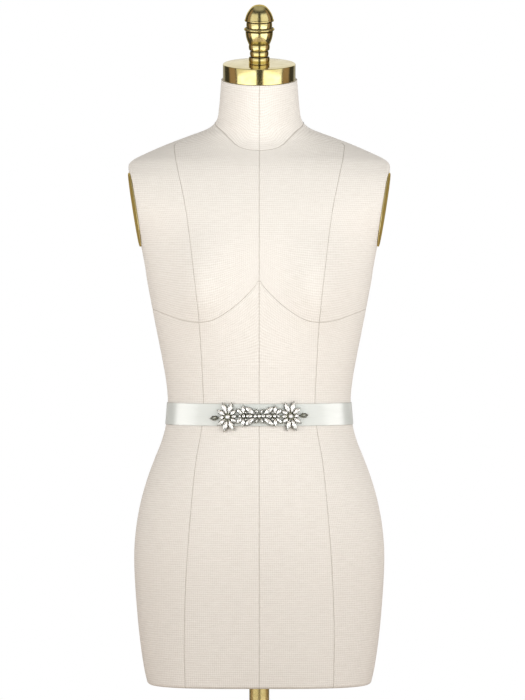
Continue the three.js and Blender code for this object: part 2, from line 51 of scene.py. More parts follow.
# Level sections: height, half width, reach to the front and to the back, centre, power, slope.
SECTIONS = np.array([
    (181, 148.0, 95.5, 103.0, 0.0, 3.20, 0.0), (200, 152.6, 97.5, 106.0, 0.0, 2.95, 0.0),
    (240, 158.6, 100.5, 114.0, 0.0, 2.70, 0.0), (290, 163.4, 103.5, 124.0, 0.0, 2.50, 0.0),
    (335, 166.0, 106.5, 130.0, 0.0, 2.40, 0.0), (365, 165.6, 108.0, 128.5, 0.0, 2.35, 0.0),
    (395, 162.4, 108.5, 122.5, 0.0, 2.30, 0.0), (425, 156.4, 108.0, 113.0, 0.0, 2.25, 0.0),
    (455, 147.6, 105.5, 102.5, 0.0, 2.20, 0.0), (480, 138.2, 102.0, 94.5, 0.0, 2.20, 0.0),
    (500, 130.2, 98.8, 88.8, 0.0, 2.15, 0.0), (520, 124.6, 96.2, 84.4, 0.0, 2.15, 0.0),
    (540, 122.0, 94.8, 82.0, 0.0, 2.15, 0.0), (560, 121.7, 95.0, 81.2, 0.0, 2.15, 0.0),
    (585, 124.4, 97.2, 82.0, 0.0, 2.15, 0.0), (615, 129.8, 101.0, 84.6, 0.0, 2.20, 0.0),
    (650, 136.8, 105.6, 88.2, 0.0, 2.25, 0.0), (685, 143.6, 110.0, 92.0, 0.0, 2.30, 0.0),
    (720, 150.2, 111.8, 95.0, 0.0, 2.30, 0.0), (750, 156.4, 109.4, 96.8, 0.0, 2.20, 0.0),
    (770, 163.0, 105.4, 97.2, 0.0, 2.10, 0.0), (790, 174.0, 99.6, 96.6, 1.0, 2.05, 0.0),
    (810, 184.0, 93.0, 95.0, 2.0, 2.05, 0.0), (830, 188.0, 85.0, 92.0, 3.0, 2.00, 0.0),
    (850, 185.5, 76.0, 87.6, 4.0, 1.90, 0.0), (864, 177.5, 69.0, 83.6, 5.0, 1.80, 0.01),
    (875, 168.2, 62.8, 80.0, 6.0, 1.70, 0.03), (885, 148.4, 57.2, 76.2, 6.0, 1.58, 0.06),
    (896, 123.0, 52.4, 72.0, 6.0, 1.48, 0.10), (907, 94.0, 49.4, 67.8, 6.0, 1.45, 0.14),
    (917, 67.8, 48.6, 64.0, 6.0, 1.68, 0.17), (928, 56.8, 49.4, 59.4, 5.0, 1.95, 0.20),
    (942, 53.8, 50.8, 53.4, 1.4, 2.00, 0.23), (960, 52.0, 53.8, 47.0, -3.4, 2.00, 0.25),
    (981, 50.4, 57.5, 40.1, -8.7, 2.00, 0.2586),
])
HALF, FRONT_REACH, BACK_REACH, CENTRE, POWER, SLOPE = range(1, 7)
HEM_HEIGHT, TOP_HEIGHT = SECTIONS[0, 0], SECTIONS[-1, 0]
HEM_ROUND = 4.0
BUST_HEIGHT, BUST_OUT, BUST_RISE, BUST_WIDE, BUST_ABOVE, BUST_BELOW = 697, 77, 19, 35, 66, 42

# The armhole's flat face leans out towards the back and the top, and has a soft rim.
ARMHOLE_OUT, ARMHOLE_HEIGHT, ARMHOLE_BACK, ARMHOLE_UP = 165.0, 810.0, 0.08, 0.16
ARMHOLE_LOW, ARMHOLE_WHOLE = 712.0, 732.0
ARMHOLE_RIM = 1.1

# Princess seams: height and distance from the middle, in front and behind.
FRONT_SEAM = np.array([
    (181, 96.7), (252, 97.8), (336, 94.9), (427, 87.9), (479, 82.4), (518, 75.5), (545, 72.9),
    (590, 74.5), (661, 78.5), (722, 85.0), (804, 95.7), (896, 113.0), (981, 113.0),
])
BACK_SEAM = np.array([
    (181, 86.0), (336, 85.0), (440, 75.0), (540, 60.0), (690, 69.0), (804, 82.0),
    (896, 113.0), (981, 113.0),
])
PRINCESS_TOP = 899.0
PRINCESS_SHARE = 0.93
BUST_SEAM, SHOULDER_TOP = 664.0, 905.0

# Seam under the bust: distance from the middle and height.
UNDERBUST = np.array([
    (0, 711), (8, 701), (24, 684.5), (45, 668.5), (62, 660), (80, 657.5), (102, 661),
    (122, 668.5), (145, 678), (200, 690),
])
# Seam at the foot of the neck: turn in degrees from the centre front, and height.
NECK_SEAM = np.array([
    (0, 888.5), (5, 889.4), (10, 892), (17, 898.5), (24.6, 905), (40, 913), (61.5, 920), (90, 925),
    (130, 927), (180, 925),
])

SEAM_DEPTH, SEAM_WIDTH = 0.45, 0.6
ROW_PITCH, COLUMN_PITCH = 2.9, 2.7
SEAM_STEPS = (0.4, 0.8, 1.6)
# Upright seams that are princess seams, how fast they end, and where the bust seam has ended.
PRINCESS_SEAMS, PRINCESS_END, NO_SEAM, BUST_SEAM_BACK = (1, 3, 5, 7), 4.0, 60.0, 12.0
CENTRE_COLUMNS, SIDE_COLUMNS = 18, 46
# Rows of the surface between the heights that key_heights gives.
STRETCH_ROWS = (80, 20, 26, 46, 26, 20)
WAIST_TOP, ARMHOLE_FOOT, ARMHOLE_TOP = 600.0, 770.0, 864.0
SOCKET_RADIUS, SOCKET_DEPTH = 13.75, 36.3

LINEN_HOLLOW, LINEN_THREAD = (0.575, 0.538, 0.492), (0.728, 0.703, 0.660)
# The seam tone and its strength are painted shadow: a dark line along each seam, for the shade in
# its groove.
SEAM_SHADOW_TONE, SEAM_SHADOW_STRENGTH = (0.27, 0.24, 0.20), 0.65
# Each panel shows another part of the cloth. Grains to the metre across and up the cloth.
PANEL_SHIFT, THREAD_WANDER = 0.137, 4.0
THREAD_WOBBLE, SLUBS, GRAIN = (14, 50, 1), (70, 520, 1), (500, 700, 1)


def eased(share):
    """A share from 0 to 1 that starts and ends gently: three squares less two cubes of it."""
    return share * share * (3 - 2 * share)


def smooth_curve(places, values, at):
    """Smooth curve through table rows: a cubic between two rows, whose slope at each row is that
    of the chord between the row's neighbours."""
    last = len(places) - 1
    low = np.maximum(np.arange(last + 1) - 1, 0)
    high = np.minimum(np.arange(last + 1) + 1, last)
    steep = (values[high] - values[low]) / (places[high] - places[low])
    i = np.clip(np.searchsorted(places, at, side="right") - 1, 0, last - 1)
    span = places[i + 1] - places[i]
    f = (at - places[i]) / span
    leaving = f * (1 - f) ** 2 * span * steep[i]
    arriving = f * f * (1 - f) * span * steep[i + 1]
    return values[i] + (values[i + 1] - values[i]) * eased(f) + leaving - arriving


def section(column, height):
    """A column of the section table at any height."""
    return smooth_curve(SECTIONS[:, 0], SECTIONS[:, column], height)


def form_point(turn, height):
    """Point of the form at a turn from +X through +Y. A level section is a superellipse with its
    own reach to the front and the back, two bell shaped mounds stand on it for the bust, the
    section tilts by its slope, and x is held softly inside the armhole's plane."""
    turn, height = np.broadcast_arrays(turn, height)
    cos, sin = np.cos(turn), np.sin(turn)
    power = section(POWER, height)
    scale = (np.abs(cos) ** power + np.abs(sin) ** power) ** (-1 / power)
    x = section(HALF, height) * cos * scale
    centre = section(CENTRE, height)
    ahead = section(FRONT_REACH, height) + centre
    behind = section(BACK_REACH, height) - centre
    y = np.where(sin < 0, ahead, behind) * sin * scale
    reach = np.where(height > BUST_HEIGHT, BUST_ABOVE, BUST_BELOW)
    bell = ((np.abs(x) - BUST_OUT) / BUST_WIDE) ** 2 + ((height - BUST_HEIGHT) / reach) ** 2
    y = y - np.where(sin < 0, BUST_RISE * np.exp(-bell) * np.minimum(1, -3 * sin), 0)
    z = height + section(SLOPE, height) * y
    y = centre + y
    limit = ARMHOLE_OUT + ARMHOLE_BACK * y + ARMHOLE_UP * (height - ARMHOLE_HEIGHT)
    past = np.clip((np.abs(x) - limit) / ARMHOLE_RIM, -30, 30)
    cut = ARMHOLE_RIM * np.log1p(np.exp(past))
    share = np.clip((height - ARMHOLE_LOW) / (ARMHOLE_WHOLE - ARMHOLE_LOW), 0, 1)
    x = np.sign(x) * (np.abs(x) - cut * eased(share))
    return np.stack([x, y, z], axis=-1)


def princess_turn(seam, height, back):
    """Turn at which a princess seam crosses a level section, from the superellipse's equation."""
    half = section(HALF, height)
    x = np.minimum(smooth_curve(seam[:, 0], seam[:, 1], height) / half, PRINCESS_SHARE)
    power = section(POWER, height)
    y = (1 - x ** power) ** (1 / power)
    return np.arctan2(y if back else -y, x)


def seam_turns(height):
    """Turns of the eight upright seams at a height, anticlockwise from the centre front, and of
    the centre front once more."""
    front = princess_turn(FRONT_SEAM, height, back=False)
    back = princess_turn(BACK_SEAM, height, back=True)
    zero = np.zeros_like(height)
    return np.stack([
        zero - np.pi / 2, front, zero, back, zero + np.pi / 2,
        np.pi - back, zero + np.pi, np.pi - front, zero + 1.5 * np.pi,
    ])


def steps_between(count):
    """Places between two seams: a share of the way and an offset, close together at each seam."""
    shares = [0.0] * (1 + len(SEAM_STEPS)) + [k / count for k in range(1, count)]
    offsets = [0.0, *SEAM_STEPS] + [0.0] * (count - 1)
    shares += [1.0] * len(SEAM_STEPS)
    offsets += [-step for step in reversed(SEAM_STEPS)]
    return np.array(shares), np.array(offsets)


def unit(vectors):
    """Vectors of the same directions, one long."""
    return vectors / np.linalg.norm(vectors, axis=-1, keepdims=True)


def quad_corners(left, right):
    """The four corners of each quad of a grid, row by row, from the values at the left and at the
    right of each column."""
    return np.stack([left[:-1], right[:-1], right[1:], left[1:]], axis=2)


def closed_skin(rings):
    """Points and faces through rings of equal counts, whose two ends are closed on a point."""
    rows, columns = rings.shape[:2]
    points = np.vstack([rings.reshape(-1, 3), rings[0].mean(axis=0), rings[-1].mean(axis=0)])
    foot, head = rows * columns, rows * columns + 1
    first = np.arange(columns)
    last = first + (rows - 1) * columns
    low = np.stack([np.full(columns, foot), np.roll(first, -1), first], axis=-1)
    high = np.stack([np.full(columns, head), last, np.roll(last, -1)], axis=-1)
    index = np.arange(rows * columns).reshape(rows, columns)
    quads = quad_corners(index, np.roll(index, -1, axis=1)).reshape(-1, 4)
    return points, quads.tolist() + low.tolist() + high.tolist()


def new_piece(name, points, faces, materials, sharp=40):
    """A mesh object from points in millimetres, smooth but for edges sharper than an angle."""
    mesh = bpy.data.meshes.new(name)
    mesh.from_pydata((np.asarray(points) * MM).tolist(), [], faces)
    for material in materials:
        mesh.materials.append(material)
    mesh.polygons.foreach_set("use_smooth", np.ones(len(mesh.polygons), dtype=bool))
    mesh.set_sharp_from_angle(angle=math.radians(sharp))
    mesh.update()
    piece = bpy.data.objects.new(name, mesh)
    bpy.context.scene.collection.objects.link(piece)
    return piece


def lay_cloth(piece, name, left, right):
    """Places on the cloth, in metres, of the grid that a piece's first faces are."""
    corners = quad_corners(left, right).reshape(-1, 2)
    places = np.zeros((len(piece.data.loops), 2), dtype=np.float32)
    places[:len(corners)] = corners
    piece.data.uv_layers.new(name=name).data.foreach_set("uv", places.ravel())


def start_material(name, colour, roughness, metallic=0.0):
    """A material, its node tree and its Principled shader."""
    material = bpy.data.materials.new(name)
    material.use_nodes = True
    shader = material.node_tree.nodes["Principled BSDF"]
    shader.inputs["Base Color"].default_value = (*colour, 1)
    shader.inputs["Roughness"].default_value = roughness
    shader.inputs["Metallic"].default_value = metallic
    return material, material.node_tree, shader


def add_node(tree, kind, links=(), **settings):
    """A node with its settings, and links from other sockets into its inputs."""
    node = tree.nodes.new(kind)
    for key, value in settings.items():
        setattr(node, key, value)
    for socket, source in dict(links).items():
        if isinstance(source, bpy.types.NodeSocket):
            tree.links.new(source, node.inputs[socket])
        else:
            node.inputs[socket].default_value = source
    return node


def calculate(tree, operation, *values):
    """Outcome of a sum on sockets or numbers."""
    node = add_node(tree, "ShaderNodeMath", dict(enumerate(values)), operation=operation)
    return node.outputs[0]


def map_range(tree, value, low, high, start, end, **settings):
    """A value carried from one range over to another and held at its ends."""
    node = add_node(tree, "ShaderNodeMapRange", {
        "Value": value, "From Min": low, "From Max": high, "To Min": start, "To Max": end,
    }, **settings)
    return node.outputs["Result"]


def mix_colours(tree, share, first, second):
    """Colour that goes from the first to the second with a share."""
    mix = add_node(tree, "ShaderNodeMix", {"Factor": share, 6: first, 7: (*second, 1)},
                   data_type="RGBA")
    return mix.outputs[2]


def colour_ramp(tree, value, *stops):
    """Colour of a value between two stops, each a place on the value's scale and a colour."""
    ramp = add_node(tree, "ShaderNodeValToRGB", {"Fac": value})
    for element, (position, colour) in zip(ramp.color_ramp.elements, stops):
        element.position = position
        element.color = (*colour, 1)
    return ramp.outputs["Color"]


def add_relief(tree, shader, height, strength, distance):
    """Relief of a shader's surface from a height, at most a distance in metres deep."""
    bump = add_node(tree, "ShaderNodeBump", {
        "Height": height, "Strength": strength, "Distance": distance,
    })
    tree.links.new(bump.outputs["Normal"], shader.inputs["Normal"])


def stretched_noise(tree, coordinates, scale, detail=2.0):
    """Noise whose grains are stretched by a scale in each direction, in grains to the metre."""
    mapping = add_node(tree, "ShaderNodeMapping", {"Vector": coordinates, "Scale": scale})
    noise = add_node(tree, "ShaderNodeTexNoise", {
        "Vector": mapping.outputs["Vector"], "Scale": 1.0, "Detail": detail,
    })
    return noise.outputs["Fac"]


def weigh(tree, *parts):
    """Sum of sockets, each times its weight."""
    total = None
    for source, weight in parts:
        total = calculate(tree, "MULTIPLY_ADD", source, weight, 0.0 if total is None else total)
    return total


def column_turn(height, panel, share):
    """Turn of each column at a height of its own: a share of the way across its panel."""
    turns = seam_turns(height)
    columns = np.arange(len(panel))
    left, right = turns[panel, columns], turns[panel + 1, columns]
    return left + (right - left) * share


def key_heights(panel, share):
    """Heights along a column: hem, above the waist, bust seam, armhole, shoulder, neck seam, top.
    The neck seam's height follows from the column's turn there, found by repeated steps."""
    level = np.ones(len(panel))
    x = np.abs(form_point(column_turn(level * BUST_SEAM, panel, share), level * BUST_SEAM)[:, 0])
    bust = smooth_curve(UNDERBUST[:, 0], UNDERBUST[:, 1], x)
    neck = level * SHOULDER_TOP
    for _ in range(8):
        turn = column_turn(neck, panel, share)
        ahead = np.degrees(np.arccos(np.clip(-np.sin(turn), -1, 1)))
        neck = (neck + smooth_curve(NECK_SEAM[:, 0], NECK_SEAM[:, 1], ahead)) / 2
    return np.stack([
        level * (HEM_HEIGHT + HEM_ROUND), level * WAIST_TOP, bust, level * ARMHOLE_FOOT,
        level * ARMHOLE_TOP, neck, level * TOP_HEIGHT,
    ])


def form_grid():
    """Points of the form's side wall, row by row from the hem, with the seams on grid lines.
    Returns the points, their heights, the key heights and the panel of each column, the first
    column of each panel, and the running length round each row."""
    counts = (CENTRE_COLUMNS, SIDE_COLUMNS, SIDE_COLUMNS, CENTRE_COLUMNS) * 2
    panel = np.concatenate([np.full(n + 2 * len(SEAM_STEPS), p) for p, n in enumerate(counts)])
    column_steps = [steps_between(n) for n in counts]
    share = np.concatenate([s for s, _ in column_steps])
    offset = np.concatenate([o for _, o in column_steps])

    keys = key_heights(panel, share)
    heights = []
    for low, high, count in zip(keys[:-1], keys[1:], STRETCH_ROWS):
        along, rise = steps_between(count)
        heights.append(low + (high - low) * along[:, None] + rise[:, None])
    height = np.vstack(heights + [keys[-1:]])

    turns = seam_turns(height)
    columns = np.arange(len(panel))
    left = turns[panel, :, columns].T
    right = turns[panel + 1, :, columns].T
    radius = (section(HALF, height) + section(FRONT_REACH, height)) / 2
    turn = left + (right - left) * share + offset / radius
    points = form_point(turn, height)

    steps = np.linalg.norm(np.roll(points, -1, axis=1) - points, axis=-1)
    along = np.concatenate([np.zeros((len(height), 1)), np.cumsum(steps, axis=1)], axis=1)
    starts = np.append(np.searchsorted(panel, np.arange(8)), len(panel))
    return points, height, keys, panel, starts, along


def make_form():
    """The form's mesh: the side wall with grooves at its seams, the rounded hem, the underside
    with the pole's socket, and the top. A groove's depth falls off from its seam as a bell."""
    points, height, keys, panel, starts, along = form_grid()
    rows, columns = height.shape
    left_start = along[:, starts[panel]]
    right_end = along[:, starts[panel + 1]]
    from_left = along[:, :-1] - left_start
    from_right = right_end - along[:, :-1]
    backness = np.clip(points[:, :, 1] / BUST_SEAM_BACK, 0, 1)
    bust = np.abs(height - keys[2]) * (1 + 30 * backness)
    cross = np.minimum(bust, np.abs(height - keys[5]))
    princess = np.isin(np.arange(9), PRINCESS_SEAMS)
    ended = NO_SEAM * np.clip((height - PRINCESS_TOP) / PRINCESS_END, 0, 1)
    left_away = from_left + ended * princess[panel]
    right_away = from_right + ended * princess[panel + 1]

    du = np.roll(points, -1, axis=1) - np.roll(points, 1, axis=1)
    dv = np.gradient(points, axis=0)
    normal = unit(np.cross(du, dv))
    nearest = np.minimum(np.minimum(left_away, right_away), cross)
    groove = SEAM_DEPTH * np.exp(-(nearest / SEAM_WIDTH) ** 2)
    wall = points - normal * groove[:, :, None]

    outline = points[0]
    flat = outline * [1, 1, 0]
    reach = np.linalg.norm(flat, axis=-1, keepdims=True)
    hem = []
    for angle in np.radians((0, 18, 36, 54, 72)):
        ring = flat * (1 - HEM_ROUND * (1 - np.sin(angle)) / reach)
        hem.append(ring + [0, 0, HEM_HEIGHT + HEM_ROUND * (1 - np.cos(angle))])
    socket = flat / reach * SOCKET_RADIUS
    under = [socket + (hem[0] * [1, 1, 0] - socket) * share + [0, 0, HEM_HEIGHT]
             for share in (0, 0.02, 0.5, 0.98)]
    mouth = [socket + [0, 0, HEM_HEIGHT + SOCKET_DEPTH], socket + [0, 0, HEM_HEIGHT + 1]]
    middle = wall[-1].mean(axis=0)
    lid = [middle + (wall[-1] - middle) * share for share in (0.98, 0.5)]
    rings = np.concatenate([np.array(mouth + under + hem), wall, np.array(lid)])
    mesh_points, faces = closed_skin(rings)
    piece = new_piece("dress_form_body", mesh_points, faces, [linen_material()], sharp=50)

    below, above = len(mouth + under + hem), len(lid)
    total = rings.shape[0]
    steps = np.linalg.norm(np.diff(rings, axis=0), axis=-1)
    up = np.concatenate([np.zeros((1, columns)), np.cumsum(steps, axis=0)])
    middle_column = (starts[:-1] + starts[1:]) // 2
    up = up[:, middle_column[panel]]
    padded = np.pad(along, ((below, above), (0, 0)), mode="edge")
    origin = padded[:, middle_column[panel]]
    u_left = padded[:, :-1] - origin
    u_right = padded[:, 1:] - origin
    shift = panel * PANEL_SHIFT
    lay_cloth(piece, "Weave", np.stack([u_left * MM + shift, up * MM], axis=-1),
              np.stack([u_right * MM + shift, up * MM], axis=-1))

    fill = ((below, above), (0, 0))
    left_away = np.pad(left_away, fill, mode="edge")
    right_away = np.pad(right_away, fill, mode="edge")
    cross = np.pad(cross, fill, mode="edge")
    next_left = padded[:, 1:] - padded[:, starts[panel]]
    next_left += np.pad(ended, fill, mode="edge") * princess[panel]
    next_right = padded[:, starts[panel + 1]] - padded[:, 1:]
    next_right += np.pad(ended, fill, mode="edge") * princess[panel + 1]
    next_cross = np.roll(cross, -1, axis=1)
    here = np.stack([left_away, right_away, cross], axis=-1)
    there = np.stack([next_left, next_right, next_cross], axis=-1)
    away = quad_corners(here, there).reshape(-1, 3)
    values = np.full((len(piece.data.loops), 3), 50, dtype=np.float32)
    values[:len(away)] = away
    attribute = piece.data.attributes.new("seam_distance", "FLOAT_VECTOR", "CORNER")
    attribute.data.foreach_set("vector", values.ravel())
    return piece


def thread_lines(tree, place, pitch, wobble):
    """A sine along a place, one wave for each pitch, whose phase wanders with a wobble."""
    phase = weigh(tree, (place, 2 * math.pi / (pitch * MM)), (wobble, THREAD_WANDER))
    return calculate(tree, "SINE", phase)


def linen_material():
    """Plain woven linen: rows and columns of round yarn with slubs, and a painted shadow where the
    distance to the nearest seam is small: a dark line that stands for the shade in the seam's
    groove."""
    material, tree, shader = start_material("linen", (0.67, 0.645, 0.60), 0.92)
    weave = add_node(tree, "ShaderNodeUVMap", uv_map="Weave").outputs["UV"]
    place = add_node(tree, "ShaderNodeSeparateXYZ", {"Vector": weave})
    wobble = stretched_noise(tree, weave, THREAD_WOBBLE)
    rows = thread_lines(tree, place.outputs["Y"], ROW_PITCH, wobble)
    columns = thread_lines(tree, place.outputs["X"], COLUMN_PITCH, wobble)
    slubs = stretched_noise(tree, weave, SLUBS)
    grain = stretched_noise(tree, weave, GRAIN)
    yarn = weigh(tree, (rows, 0.08), (columns, 0.065), (slubs, 0.28), (grain, 0.34))
    tone = colour_ramp(tree, yarn, (0.10, LINEN_HOLLOW), (0.50, LINEN_THREAD))

    away = add_node(tree, "ShaderNodeAttribute", attribute_name="seam_distance")
    parts = add_node(tree, "ShaderNodeSeparateXYZ", {"Vector": away.outputs["Vector"]})
    nearer = calculate(tree, "MINIMUM", parts.outputs[0], parts.outputs[1])
    nearest = calculate(tree, "MINIMUM", nearer, parts.outputs[2])
    # Painted shadow: the linen darkens along each seam, standing for the shade in its groove.
    line = map_range(tree, nearest, 0.22, SEAM_WIDTH, SEAM_SHADOW_STRENGTH, 0.0)
    tree.links.new(mix_colours(tree, line, tone, SEAM_SHADOW_TONE), shader.inputs["Base Color"])

    relief = weigh(tree, (rows, 0.25), (columns, 0.15), (slubs, 0.5), (grain, 0.4))
    add_relief(tree, shader, relief, 0.5, 0.0004)
    shader.inputs["Sheen Weight"].default_value = 0.1
    shader.inputs["Specular IOR Level"].default_value = 0.25
    return material


form = make_form()
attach(form, "root")
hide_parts("form_torso")


# Armhole plates: an oval of brushed brass sheet over each armhole, with a rolled edge. It is
# screwed through the linen to the form's shell.

PLATE_HEIGHT, PLATE_DEPTH, PLATE_THICK, PLATE_SEAT = 99.0, 72.0, 2.0, 0.3
PLATE_MIDDLE, PLATE_BACK, PLATE_POWER = 808.5, -4.0, 2.2
PLATE_SIDES = 96
# Section of a plate, from its back face to its front: share of its outline and its thickness.
PLATE_SECTION = ((0.4, 0), (0.985, 0), (1, 0.25), (1, 0.75), (0.99, 0.93), (0.975, 1), (0.5, 1.0))
TARNISH, POLISH = (0.68, 0.56, 0.23), (0.83, 0.73, 0.37)
PLATE_GLINT = (1.0, 0.68, 0.12, 1)


def full_turn(count):
    """Evenly spaced turns once round a circle."""
    return np.linspace(0, 2 * np.pi, count, endpoint=False)


def object_places(tree):
    """Coordinates of the piece that a material is on."""
    return add_node(tree, "ShaderNodeTexCoord").outputs["Object"]


def brass_material(name, roughness, lines, edge=(1, 1, 1, 1)):
    """Polished brass with fine turning lines along one direction and a faint cloudy tarnish. Edge
    is the tint of what it mirrors at a grazing view."""
    material, tree, shader = start_material(name, (0.80, 0.64, 0.29), roughness, 1.0)
    places = object_places(tree)
    cloud = stretched_noise(tree, places, (60, 60, 60), 3.0)
    turned = stretched_noise(tree, places, lines, 1.0)
    tone = colour_ramp(tree, cloud, (0.30, TARNISH), (0.72, POLISH))
    tree.links.new(tone, shader.inputs["Base Color"])
    dull = map_range(tree, cloud, 0.3, 0.7, roughness + 0.05, roughness)
    tree.links.new(dull, shader.inputs["Roughness"])
    add_relief(tree, shader, turned, 0.12, 0.0002)
    shader.inputs["Specular Tint"].default_value = edge
    return material


def armhole_plate_points(side):
    """Rings of a plate: superellipses across the armhole's plane, from its back face round a
    rolled edge to a slightly domed front face."""
    out = unit(np.array([side, -ARMHOLE_BACK, -ARMHOLE_UP]))
    across = unit(np.cross([0, 0, 1], out))
    up = np.cross(out, across)
    centre = np.array([side * ARMHOLE_OUT, 0, ARMHOLE_HEIGHT])
    turn = full_turn(PLATE_SIDES)
    cos, sin = np.cos(turn), np.sin(turn)
    scale = (np.abs(cos) ** PLATE_POWER + np.abs(sin) ** PLATE_POWER) ** (-1 / PLATE_POWER)
    rings = []
    for share, rise in PLATE_SECTION:
        aside = side * PLATE_BACK + share * PLATE_DEPTH / 2 * cos * scale
        height = PLATE_MIDDLE - ARMHOLE_HEIGHT + share * PLATE_HEIGHT / 2 * sin * scale
        depth = PLATE_SEAT + PLATE_THICK * rise
        rings.append(centre + out * depth + aside[:, None] * across + height[:, None] * up)
    return np.array(rings)


plate_brass = brass_material("plate_brass", 0.42, (900, 60, 60), PLATE_GLINT)
for side, label in ((-1, "left"), (1, "right")):
    plate = new_piece(f"armhole_disc_{label}", *closed_skin(armhole_plate_points(side)),
                      [plate_brass])
    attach(plate, "root")
    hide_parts(f"armhole_plate_{label}")


# Neck cap and finial: a polished brass cap that covers the top of the neck, and a turned finial
# that screws into it. Both sit square on the leaning neck.

NECK_LEAN = math.radians(14.5)
CAP_RADIUS, CAP_HEIGHT, CAP_EDGE, CAP_SEAT, CAP_SIDES = 48.2, 21.0, 1.2, 0.3, 144
FINIAL_SEAT, FINIAL_SIDES = 0.6, 96
# The finial's tip is an egg, drawn in to a blunt top: height and radius.
TIP = np.array([(59.0, 18.5), (62.0, 17.9), (66.0, 16.4), (70.0, 14.1), (73.5, 11.4), (76.0, 8.6),
                (77.6, 5.4), (78.2, 2.0)])
TIP_ROWS, TIP_CROWDING = 24, 1.6
# Old polish has stayed in the grooves between its beads: the heights between which each one lies.
GROOVES = np.array([(8.4, 10.3), (16.1, 18.1), (42.2, 44.1), (47.3, 48.2), (54.8, 56.4)])
TURNING_LINES, FINIAL_GLINT = (30, 30, 2500), (0.80, 0.66, 0.34, 1)
DARK_FILM, THIN_FILM = (0.03, 0.02, 0.008), (0.20, 0.14, 0.05)


def lathe_rings(profile, sides):
    """Rings of radius r at height h for each (h, r) of a profile, about the Z axis."""
    turn = full_turn(sides)
    profile = np.asarray(profile, dtype=float)
    height = np.broadcast_to(profile[:, :1], (len(profile), sides))
    return np.stack([profile[:, 1:] * np.cos(turn), profile[:, 1:] * np.sin(turn), height],
                    axis=-1)


def on_neck(points, rise):
    """Points about the Z axis moved up by rise, leant forward and set on the top of the neck."""
    x, y, z = np.moveaxis(np.asarray(points), -1, 0)
    z = z + rise
    cos, sin = math.cos(NECK_LEAN), math.sin(NECK_LEAN)
    return np.stack([x, y * cos - z * sin + SECTIONS[-1, CENTRE],
                     y * sin + z * cos + TOP_HEIGHT], axis=-1)


def arc(h0, r0, h1, r1, bulge, count=8):
    """Profile points from (h0, r0) to (h1, r1), bowed out by bulge at the middle as a sine."""
    f = np.linspace(0, 1, count)
    return list(zip(h0 + (h1 - h0) * f, r0 + (r1 - r0) * f + bulge * np.sin(np.pi * f)))


def patina_material():
    """Old polish: a dark crumbly film with brass showing through."""
    material, tree, shader = start_material("patina", (0.10, 0.07, 0.02), 0.6, 0.6)
    crumbs = stretched_noise(tree, object_places(tree), (800, 800, 800))
    tone = colour_ramp(tree, crumbs, (0.0, DARK_FILM), (1.0, THIN_FILM))
    tree.links.new(tone, shader.inputs["Base Color"])
    return material


cap_profile = [(0, 1), (0, CAP_RADIUS - 0.5), (0.5, CAP_RADIUS), (CAP_HEIGHT / 2, CAP_RADIUS)]
cap_profile += [(CAP_HEIGHT - CAP_EDGE * (1 - math.sin(a)),
                 CAP_RADIUS - CAP_EDGE * (1 - math.cos(a)))
                for a in np.radians((0, 22.5, 45, 67.5, 90))]
cap_profile += [(CAP_HEIGHT, CAP_RADIUS * 0.6), (CAP_HEIGHT, 1)]
cap_points, cap_faces = closed_skin(lathe_rings(cap_profile, CAP_SIDES))
cap = new_piece("neck_cap_brass", on_neck(cap_points, CAP_SEAT), cap_faces,
                [brass_material("brass", 0.12, TURNING_LINES)], sharp=30)
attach(cap, "root")
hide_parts("neck_cap")

finial_profile = (
    [(0, 1), (0, 13.2), (0.5, 13.9), (1.5, 13.9), (1.9, 13.2)] + arc(2.3, 13.4, 8.4, 13.4, 0.5)
    + arc(8.9, 10.2, 9.9, 10.2, 0) + arc(10.3, 12.0, 16.1, 12.0, 0.4)
    + arc(16.6, 10.0, 17.6, 10.0, 0) + arc(18.1, 13.3, 25.3, 13.6, 0.5)
    + arc(25.8, 13.9, 42.2, 18.2, 1.0) + arc(42.7, 16.0, 43.7, 16.0, 0)
    + arc(44.1, 19.2, 47.3, 19.0, 1.1) + arc(47.9, 16.8, 54.8, 16.8, 0.3)
    + arc(55.1, 15.4, 56.0, 15.4, 0) + arc(56.4, 18.9, 59.0, 18.6, 0.6)
)
from_top = np.linspace(1, 0, TIP_ROWS)[1:] ** TIP_CROWDING
tip_heights = TIP[-1, 0] - (TIP[-1, 0] - TIP[0, 0]) * from_top
finial_profile += list(zip(tip_heights, smooth_curve(TIP[:, 0], TIP[:, 1], tip_heights)))
finial_points, finial_faces = closed_skin(lathe_rings(finial_profile, FINIAL_SIDES))
finial_brass = brass_material("finial_brass", 0.17, TURNING_LINES, FINIAL_GLINT)
finial = new_piece("finial_brass", on_neck(finial_points, CAP_HEIGHT + FINIAL_SEAT),
                   finial_faces, [finial_brass, patina_material()], sharp=35)
profile_heights = np.array(finial_profile)[:, 0]
middles = ((profile_heights[:-1] + profile_heights[1:]) / 2)[:, None]
in_groove = ((middles > GROOVES[:, 0]) & (middles < GROOVES[:, 1])).any(axis=1)
filmed = np.zeros(len(finial.data.polygons), dtype=np.int32)
filmed[:len(middles) * FINIAL_SIDES] = np.repeat(in_groove, FINIAL_SIDES)
finial.data.polygons.foreach_set("material_index", filmed)
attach(finial, "root")
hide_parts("finial")


# Stand: a brass tube that plugs into the form from below, in a boss on a round weighted base.
# Turned and brushed, and plain, because it only has to hold the form up.

POLE_RADIUS, POLE_LOW, POLE_HIGH, POLE_EDGE = 13.3, 10.3, 217.0, 0.4
BASE_RADIUS, RIM_HEIGHT, BOSS_RADIUS, BOSS_HEIGHT = 150.0, 7.0, 25.0, 36.0
DISH_HEIGHT, BOSS_FOOT = RIM_HEIGHT + 8, RIM_HEIGHT + 15
POLE_SEAT, POLE_BORE = 10.0, 13.75
STAND_SIDES = 128

